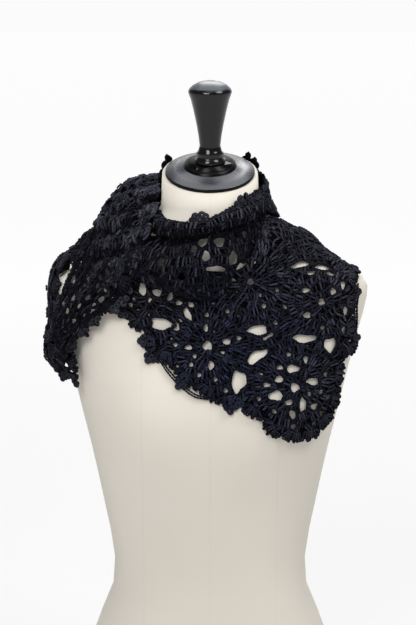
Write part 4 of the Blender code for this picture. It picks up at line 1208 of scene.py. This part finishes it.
def ground_material():
    """The inside of the stitches behind the posts, coloured near black as painted shade between them."""
    made, tree, shader, where = new_material("inner yarn ground", {
        "Roughness": 0.95, "Specular IOR Level": 0.02,
    })
    knots = add_node(tree, "ShaderNodeTexVoronoi", {"Scale": 420.0}, {"Vector": where}).outputs["Distance"]
    # Painted shade: the ground is darker than the yarn itself, darkest at the edges of its small cells
    tree.links.new(shades(tree, knots, (0.0, "060608"), (1.0, "020203")), shader.inputs["Base Color"])
    bumped(tree, shader, knots, 0.6, 0.0004, invert=True)
    return made


SEAM_ASIDE = 0.0795  # the side seams' distance from the body's middle


def form_material():
    """The form's cover: a fine plain-woven cotton, slightly warm, with its seams barely darker."""
    made, tree, shader, where = new_material("off-white cotton cover", {
        "Roughness": 0.85, "Specular IOR Level": 0.2,
    })
    weave = {"Scale": 420.0, "Distortion": 0.6, "Detail Scale": 2.0}
    warp, weft = (add_node(tree, "ShaderNodeTexWave", weave, {"Vector": where}, bands_direction=way)
                  for way in "XZ")
    bumped(tree, shader, maths(tree, "ADD", warp.outputs["Fac"], weft.outputs["Fac"]), 0.12, 0.0001)
    cover = shades(tree, noise(tree, where, 6.0, 3.0), (0.3, "D3CDC1"), (0.7, "D7D1C6"))
    # Princess seams down each side of the body, and one down the middle of the front
    aside = maths(tree, "ABSOLUTE", along_axis(tree, where, "X"))
    from_side_seam = maths(tree, "ABSOLUTE", maths(tree, "SUBTRACT", aside, SEAM_ASIDE))
    seam = ranged(tree, maths(tree, "MINIMUM", from_side_seam, aside), 0.0003, 0.0012, 0.97, 1.0)
    shaded = add_node(tree, "ShaderNodeVectorMath", {}, {0: cover, "Scale": seam}, operation="SCALE")
    tree.links.new(shaded.outputs["Vector"], shader.inputs["Base Color"])
    return made


# How far the cap's raised ring and its face reach from its middle, and how far from the knob's top it is
# painted grey, a painted reflection
RING_REACH, RIM_REACH, GREY_TOP_REACH = 0.0325, 0.0528, 0.0255


def lacquer(name, colour, gloss, rough):
    """Turned wood under black lacquer, with a breath of turning marks and dust."""
    made, tree, shader, where = new_material(name, {"Base Color": srgb(colour), "Specular IOR Level": gloss})
    marks = noise(tree, where, 60.0, 3.0)
    tree.links.new(ranged(tree, marks, 0.3, 0.7, rough, rough + 0.06), shader.inputs["Roughness"])
    bumped(tree, shader, marks, 0.015, 0.0003)
    return made, tree, shader, where


def cap_material(middle, colour="1D212B", gloss=0.90):
    """The cap's black lacquer: its face coloured a paler blue grey as a painted reflection of the bright
    room, and the raised ring in the middle and the rim near black and less glossy, a painted shade.
    """
    made, tree, shader, where = lacquer("black lacquer with painted reflection", colour, gloss, 0.24)
    far = distance_from(tree, where, middle)
    painted_reflection = maths(tree, "MULTIPLY", ranged(tree, far, RING_REACH, RING_REACH + 0.0004),
                   ranged(tree, far, RIM_REACH, RIM_REACH + 0.0003, 1.0, 0.0))
    # Painted reflection on the face, painted shade on the raised ring and the rim
    tree.links.new(blend(tree, painted_reflection, "050506", colour), shader.inputs["Base Color"])
    tree.links.new(ranged(tree, painted_reflection, 0.0, 1.0, 0.12, gloss), shader.inputs["Specular IOR Level"])
    return made


def knob_material(top, colour="0A0A0D", rough=0.15):
    """The knob's gloss black lacquer, coloured a satin grey on top as a painted reflection of the light
    above.
    """
    made, tree, shader, where = lacquer("black gloss lacquer", colour, 0.38, rough)
    painted_reflection = ranged(tree, distance_from(tree, where, top), GREY_TOP_REACH, GREY_TOP_REACH + 0.002, 1.0, 0.0)
    # Painted reflection: the knob's top is coloured grey and made rougher
    tree.links.new(blend(tree, painted_reflection, colour, "454A52"), shader.inputs["Base Color"])
    tree.links.new(ranged(tree, painted_reflection, 0.0, 1.0, rough, 0.32), shader.inputs["Roughness"])
    return made


def corners(node):
    return np.array([v.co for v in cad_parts[node].data.vertices])


YARN, GROUND, FORM_COVER = yarn_material(), ground_material(), form_material()
cap, knob = corners("neck_cap"), corners("knob")
CAP_LACQUER = cap_material(tuple((cap.min(0) + cap.max(0)) / 2))
KNOB_LACQUER = knob_material(tuple(knob[knob[:, 2] > knob[:, 2].max() - 0.002].mean(0)))


def smooth_copy(node, name, material, sharp):
    """The node's own shape with its doubles merged, so that it shades as one smooth body."""
    body = bmesh.new()
    body.from_mesh(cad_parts[node].data)
    bmesh.ops.remove_doubles(body, verts=body.verts, dist=1e-5)
    mesh = bpy.data.meshes.new(name)
    body.to_mesh(mesh)
    body.free()
    mesh.shade_smooth()
    mesh.set_sharp_from_angle(angle=math.radians(sharp))
    obj = bpy.data.objects.new(name, mesh)
    bpy.context.scene.collection.objects.link(obj)
    mesh.materials.clear()
    mesh.materials.append(material)
    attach(obj, "root")
    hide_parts(node)


smooth_copy("form_torso", "form_body", FORM_COVER, 40)
smooth_copy("neck_cap", "cap_turned", CAP_LACQUER, 30)
smooth_copy("knob", "knob_turned", KNOB_LACQUER, 30)


CORD_PITCH, CORD_WIDE, CORD_UP = 0.0070, 0.8, 0.0006  # one twist of a loose cord, its width and its height
# How much stitches vary by hand: where they end, how high they stand and how wide they are
END_WANDER, UP_WANDER, WIDE_WANDER = 0.0006, 0.0004, 0.13
FAN_UP_WANDER, FAN_WIDE_WANDER, FAN_WIDE = 0.0003, 0.12, 1.25
# How high the chains lie: round a flower, round a gap and along the edge
ROUND_UP, GAP_UP, EDGE_UP, CHAIN_WANDER = 0.0013, 0.0005, 0.0002, 0.0002
FINE_STEP = 0.0012  # steps of the outline that the stitches and the ground are cut to
LEAST_POST, LEAST_LINK, LEAST_FAN_POST = 0.3, 0.9, 0.5  # the part of a stitch that must be left after a cut


def smooth_open(points, chart):
    """A bent line through the points, cut into steps of equal length in space."""
    p = np.array(points, float)
    t = np.linspace(0, len(p) - 1, 60)
    flat = np.stack([curve(np.arange(len(p)), p[:, k], t) for k in (0, 1)], 1)
    return stepped(chart, flat, CORD_PITCH, 3, int)


def flat_relief(flat):
    return np.zeros(len(flat))


def stretch(name, surface, outline, gaps, layout, picot_where, knots=(),
            relief=flat_relief, knot_size=1.15, loose=(), swell=1.06, tone=0.0):
    """One stretch of cloth: its ground, its posts, and the chains and picots on it."""
    loop = smooth_loop(outline, SCALLOP_PITCH / 4)
    chart = Chart(surface, loop, name, relief, tone)
    gaps = [(x, y, swell * a + SHY, swell * b + SHY, slant) for x, y, a, b, slant in gaps]
    wavy, fan_foot, fan_head, fan_lift = petal_edge(chart, loop, picot_where, PETAL_PITCH, PETAL_SWING)
    fine = smooth_loop(wavy, FINE_STEP)
    foot, head, lift, ring_a, ring_b = layout(chart, loop)

    foot, head, ring_a, ring_b = (p + wander(p) for p in (foot, head, ring_a, ring_b))
    fans = np.concatenate([fan_foot + (fan_head - fan_foot) * t for t in (0.3, 0.6, 0.9)])

    def room(points):
        return np.minimum(outline_depth(fine, points) - EDGE_ROOM, ellipse_depth(gaps, points) - GAP_ROOM)

    def beside_fans(points):
        return np.minimum(room(points), distance_to(fans, points) - FAN_ROOM) if len(fans) else room(points)

    foot, head, keep = trimmed(foot, head, beside_fans, LEAST_POST)
    lift = lift[keep] + lumps(foot)
    ring_a, ring_b, _ = trimmed(ring_a, ring_b, beside_fans, LEAST_LINK)
    fan_foot, fan_head, keep = trimmed(fan_foot, fan_head, room, LEAST_FAN_POST)
    fan_lift = fan_lift[keep]
    gap_a, gap_b = gap_chains(gaps, chart)
    keep = outline_depth(fine, (gap_a + gap_b) / 2) > 0 if len(gap_a) else []
    gap_a, gap_b = gap_a[keep], gap_b[keep]
    edge_a, edge_b = edge_chain(wavy, chart)
    posts = ((foot, head), (fan_foot, fan_head))
    spots = [a + (b - a) * t for a, b in posts for t in (0, 0.25, 0.5, 0.75, 1)]
    ground = lace_ground(f"{name}_ground", chart, fine, gaps, np.concatenate([*spots, ring_a, gap_a, edge_a]))
    ground.data.materials.append(GROUND)

    def varied(spread, shape):
        return spread * random.standard_normal(shape)

    jig = varied(END_WANDER, (2, len(foot), 2))
    items = [place(chart, POST, foot + jig[0], head - foot + jig[1] - jig[0],
                   lift + varied(UP_WANDER, len(foot)), 1 + varied(WIDE_WANDER, len(foot)))]
    if len(fan_foot):
        items.append(place(chart, POST, fan_foot, fan_head - fan_foot,
                           fan_lift + varied(FAN_UP_WANDER, len(fan_foot)),
                           FAN_WIDE + varied(FAN_WIDE_WANDER, len(fan_foot))))
    stitches = make_mesh(f"{name}_stitches", *gather(items))
    parts = []
    for a, b, template, up in ((ring_a, ring_b, THIN_LINK, ROUND_UP), (gap_a, gap_b, LINK, GAP_UP),
                               (edge_a, edge_b, LINK, EDGE_UP)):
        if len(a):
            parts.append(place(chart, template, a, b - a, up + varied(CHAIN_WANDER, len(a))))
    parts.append(picots(chart, wavy, picot_where, knots, knot_size))
    for line in loose:
        run = smooth_open(line, chart)
        up = np.full(len(run) - 1, CORD_UP)
        parts.append(place(chart, POST, run[:-1], np.diff(run, axis=0), up, CORD_WIDE))
    chains = make_mesh(f"{name}_chains", *gather(parts))
    for obj in (stitches, chains):
        obj.data.materials.append(YARN)
        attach(obj, "root")
    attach(ground, "root")
    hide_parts(name)


# Middles of the flowers and places of the edge's knots, in the flat cloth
FLOWERS_CHEST = [(-0.003, 0.004), (0.129, -0.043), (0.097, 0.054), (0.046, -0.070), (-0.070, -0.049),
                 (0.075, -0.170), (0.165, -0.145), (-0.090, 0.050), (0.020, 0.105)]
FLOWERS_BACK = [(-0.100, -0.075), (0.000, -0.100), (0.100, -0.075), (0.185, -0.110), (-0.190, -0.100)]
CHEST_KNOTS = [(-0.072, 0.000), (-0.064, 0.012), (-0.110, -0.060), (-0.098, -0.034), (-0.030, 0.044),
               (0.024, 0.070), (0.168, 0.006), (0.170, -0.050), (0.168, -0.085), (0.169, -0.125),
               (0.034, 0.066)]
BACK_KNOTS = [(0.150, -0.094), (0.085, -0.127), (0.018, -0.153), (-0.050, -0.147), (-0.115, -0.117)]
COLLAR_KNOTS = [(348, 0), (398, -0.1), (406, -0.2), (450, 0), (503, -0.1), (507, 0.3)]
COWL_KNOTS = [(255, -0.05), (262, -0.08), (303, 0), (310, 0)]
END_KNOTS = [(3.0, 0), (4.4, 0), (6, 0.1), (6, 0.6), (6, 1.2), (6, 1.8), (4.6, 2)]
BUNDLE_KNOTS = [(4.4, 0), (5.1, 0), (5.8, 0), (6.5, 0), (7.3, 0), (8, 0.3), (8, 0.9), (7.6, 2.15), (6.4, 2.3)]

# Rolls (up) and creases (down) of the gathered cloth: height, width (mm) and points in the tables' stops
BUNDLE_LINES = [
    (7.0, 9, [(0.2, 2.15), (0.95, 2.1), (1.5, 2.2), (2.2, 2.2), (3.0, 2.5)]),
    (7.5, 7, [(0.0, 1.25), (0.7, 1.3), (1.4, 1.5), (2.1, 1.65), (2.9, 2.1)]),
    (7.5, 7, [(0.0, 0.15), (0.7, 0.5), (1.33, 0.75), (2.25, 1.25), (3.08, 1.9)]),
    (6.5, 7, [(0.9, 0.0), (1.7, 0.45), (2.35, 0.78), (3.55, 1.5)]),
    (5.0, 7, [(2.0, 0.15), (3.35, 0.73), (4.45, 1.35)]),
    (2.5, 8, [(3.2, 0.25), (4.8, 0.85), (5.7, 1.23)]),
    (-6.5, 4.5, [(0.0, 1.7), (0.88, 1.75), (1.62, 1.95), (2.25, 2.02), (2.9, 2.3)]),
    (-7.0, 4.5, [(0.0, 0.7), (0.83, 0.95), (1.38, 1.05), (2.02, 1.4), (2.67, 1.9)]),
    (-6.5, 4.5, [(0.4, 0.0), (1.4, 0.55), (2.12, 0.98), (3.25, 1.65)]),
    (-5.0, 4.5, [(1.6, 0.1), (2.53, 0.55), (3.43, 0.98), (4.35, 1.5)]),
    (-4.0, 4, [(1.43, 1.55), (1.22, 1.0)]),
    (4.0, 10, [(0.3, 3.0), (1.5, 3.1), (2.8, 3.2), (3.8, 3.0)]),
    (-3.5, 5, [(0.0, 2.6), (1.5, 2.65), (2.8, 2.8), (3.8, 2.6)]),
]
COWL_LINES = [
    (5.0, 7, [(214, 0.75), (234, 0.6), (247, 0.55), (260, 0.5), (282, 0.6), (308, 0.55), (330, 0.5)]),
    (-5.0, 5, [(212, 1.75), (230, 1.65), (243, 1.55), (258, 1.45), (272, 1.3), (301, 1.35), (322, 1.3)]),
    (3.5, 9, [(223, 2.4), (246, 2.35), (266, 2.5), (290, 2.2)]),
    (2.5, 8, [(225, 3.6), (245, 3.4), (264, 3.6), (276, 3.6)]),
]


# Openings under 4 mm, between the stitches of the bundle's low end: along, across, width, height (mm), slant
BUNDLE_SLITS = [(a, b, 2.6, 2.4, 0) for a, b in (
    (4.0, 1.30), (3.80, 0.85), (4.67, 0.80), (6.63, 1.07), (4.67, 1.53), (5.50, 1.48), (5.47, 0.60),
    (5.27, 1.45), (5.87, 1.87), (6.80, 1.75), (6.80, 0.55), (6.53, 1.95), (5.93, 0.55), (4.80, 0.65),
    (5.17, 2.20),
)]
# Cords that hang free of the cloth's edge (mm)
CHEST_LOOSE = [
    [(-58, 22), (-49, 36), (-34, 52), (-16, 64), (-2, 66)],
    [(-58, 19), (-47, 34), (-32, 50), (-15, 61.5), (-3, 64)],
    [(168, 0), (170, -15), (169, -32), (171, -48), (173, -60)],
    [(170, 4), (172.5, -14), (172, -34), (174, -50)],
]
COLLAR_LOOSE = [(500, 1.0), (505, 0.6), (508, 0.2)]  # azimuth, stop
# Part of the chest's edge, and the line that it takes instead to run on under the cowl (mm)
UNDER_COWL = [(78, -186), (72, -165), (68, -150), (68, -132), (69, -116), (57, -106)]
RUN_ON = [(70, -188), (61, -166), (56, -150), (55, -132), (54, -116), (47, -100)]


def flowers(centres):
    """A layout: crochet flowers round the centres."""
    return lambda chart, loop: flower_rows(centres)


def rows(step, along, group=0, hole=0.0):
    """A layout: level rows a step apart, each with a hole in every group of posts where a group is given."""
    return lambda chart, loop: level_rows(chart, loop, step, along, group, hole)


chest_at = flat_place(0.001, 0.001)
cowl_at = flat_place(math.radians(1) * COWL_TURN, COWL_DOWN)
collar_at = flat_place(math.radians(1) * COLLAR_TURN, COLLAR_DOWN)
end_at, bundle_at = flat_place(END_ALONG, END_ACROSS), flat_place(BUNDLE_ALONG, BUNDLE_ACROSS)
chest_edge = [p for p in CHEST_OUTLINE if p not in UNDER_COWL]
at = chest_edge.index((87, -204)) + 1
chest_edge[at:at] = RUN_ON
# The collar runs on under the bundle in the same way
collar_edge = COLLAR_OUTLINE[:8] + [(508, 0.5), (520, 1.1), (524, 2.0), (516, 3)] + COLLAR_OUTLINE[9:]
stretch(
    "chest_panel", chest, places(chest_at, chest_edge), gap_table(CHEST_GAPS, chest_at),
    flowers(FLOWERS_CHEST),
    lambda p: p[1] > -0.062 or p[0] > 0.150,
    CHEST_KNOTS, knot_size=1.35, loose=[places(chest_at, line) for line in CHEST_LOOSE],
)
stretch(
    "back_panel", back, places(chest_at, BACK_OUTLINE), [], flowers(FLOWERS_BACK),
    lambda p: p[1] < -0.072, BACK_KNOTS,
)
stretch(
    "back_collar", collar, places(collar_at, collar_edge), [], rows(0.0085, 1),
    lambda p: p[1] < 0.004,
    places(collar_at, COLLAR_KNOTS), knot_size=1.6, loose=[places(collar_at, COLLAR_LOOSE)],
)
stretch(
    "neck_cowl", cowl, places(cowl_at, COWL_OUTLINE), gap_table(COWL_GAPS, cowl_at), rows(0.0066, 1),
    lambda p: p[1] < 0.004 or p[0] > cowl_at(294, 0)[0],
    places(cowl_at, COWL_KNOTS), lambda flat: ridges(flat, COWL_LINES, cowl_at(1, 1)),
    knot_size=1.42, swell=1.35, tone=-0.8,
)
stretch(
    "hanging_end", end_cloth, places(end_at, END_OUTLINE), gap_table(END_GAPS, end_at),
    rows(0.0085, 0, 10, 0.2),
    lambda p: p[0] > 0.06, places(end_at, END_KNOTS),
)
stretch(
    "shoulder_bundle", bundle, places(bundle_at, BUNDLE_OUTLINE),
    gap_table(BUNDLE_GAPS + BUNDLE_SLITS, bundle_at), rows(0.0062, 0),
    lambda p: p[0] > 0.105,
    places(bundle_at, BUNDLE_KNOTS),
    lambda flat: ridges(flat, BUNDLE_LINES, bundle_at(1, 1)) - 0.5 * pleats(flat),
    knot_size=1.39, swell=1.3, tone=-0.3,
)


def backdrop():
    """Soft white light all round, brighter ahead and darker behind the camera."""
    world = bpy.data.worlds.new("soft white studio")
    bpy.context.scene.world = world
    world.use_nodes = True
    tree = world.node_tree
    where = add_node(tree, "ShaderNodeTexCoord").outputs["Generated"]
    ramp = add_node(tree, "ShaderNodeValToRGB", {}, {"Fac": along_axis(tree, where, "Y")})
    behind, before = ramp.color_ramp.elements
    behind.position, behind.color = 0.60, (0.16, 0.16, 0.17, 1)
    before.position, before.color = 0.93, (0.965, 0.965, 0.965, 1)
    tree.links.new(ramp.outputs["Color"], tree.nodes["Background"].inputs["Color"])
    tree.nodes["Background"].inputs["Strength"].default_value = 1.0


def lay_floor():
    """A wide matt disc that glows as a lit sweep does, a little less near the lamps' own light."""
    disc = bmesh.new()
    bmesh.ops.create_circle(disc, cap_ends=True, segments=64, radius=FLOOR_REACH)
    bmesh.ops.translate(disc, verts=disc.verts, vec=(0, 0, FLOOR_AT))
    mesh = bpy.data.meshes.new("floor")
    disc.to_mesh(mesh)
    disc.free()
    floor = bpy.data.objects.new("floor", mesh)
    bpy.context.scene.collection.objects.link(floor)
    made, tree, shader, where = new_material("matt white floor", {
        "Base Color": (0.20, 0.20, 0.20, 1), "Roughness": 0.9, "Emission Color": (1, 1, 1, 1),
    })
    reach = add_node(tree, "ShaderNodeVectorMath", {}, {0: where}, operation="LENGTH").outputs["Value"]
    glow = ranged(tree, reach, 0.4, 3.6, 0.675, 0.90, interpolation_type="SMOOTHSTEP")
    tree.links.new(glow, shader.inputs["Emission Strength"])
    mesh.materials.append(made)


def aimed(obj, place_at, target):
    obj.location = place_at
    obj.rotation_euler = (target - Vector(place_at)).to_track_quat("-Z", "Y").to_euler()
    bpy.context.scene.collection.objects.link(obj)


FLOOR_REACH, FLOOR_AT = 40, -0.0005
LAMPS = (
    # name, place, size (m), power (W)
    ("key", (-0.6, -1.6, 1.65), 0.8, 23.0), ("side", (1.3, -0.8, 2.1), 0.9, 20.0),
    ("rear", (0.1, 1.3, 2.0), 1.0, 16.0), ("top", (0.1, 0.1, 2.4), 2.4, 31.0),
)
LOOK_AT, CAMERA_AWAY, CAMERA_UP = Vector((-0.0024, 0, 0.5187)), 2.2, math.radians(10)
FRAME_HIGH, FOCAL, SENSOR = 625, 1818.2, 36.0  # pixels, pixels, mm

bpy.context.scene.view_settings.view_transform = "Standard"
backdrop()
lay_floor()
for name, place_at, size, power in LAMPS:
    data = bpy.data.lights.new(name, "AREA")
    data.size, data.energy = size, power
    aimed(bpy.data.objects.new(name, data), place_at, Vector((0, 0, 0.5)))
lens = bpy.data.cameras.new("camera")
lens.sensor_fit, lens.sensor_height, lens.lens = "VERTICAL", SENSOR, SENSOR * FOCAL / FRAME_HIGH
camera = bpy.data.objects.new("camera", lens)
aimed(camera, LOOK_AT + CAMERA_AWAY * Vector((0, -math.cos(CAMERA_UP), math.sin(CAMERA_UP))), LOOK_AT)
bpy.context.scene.camera = camera
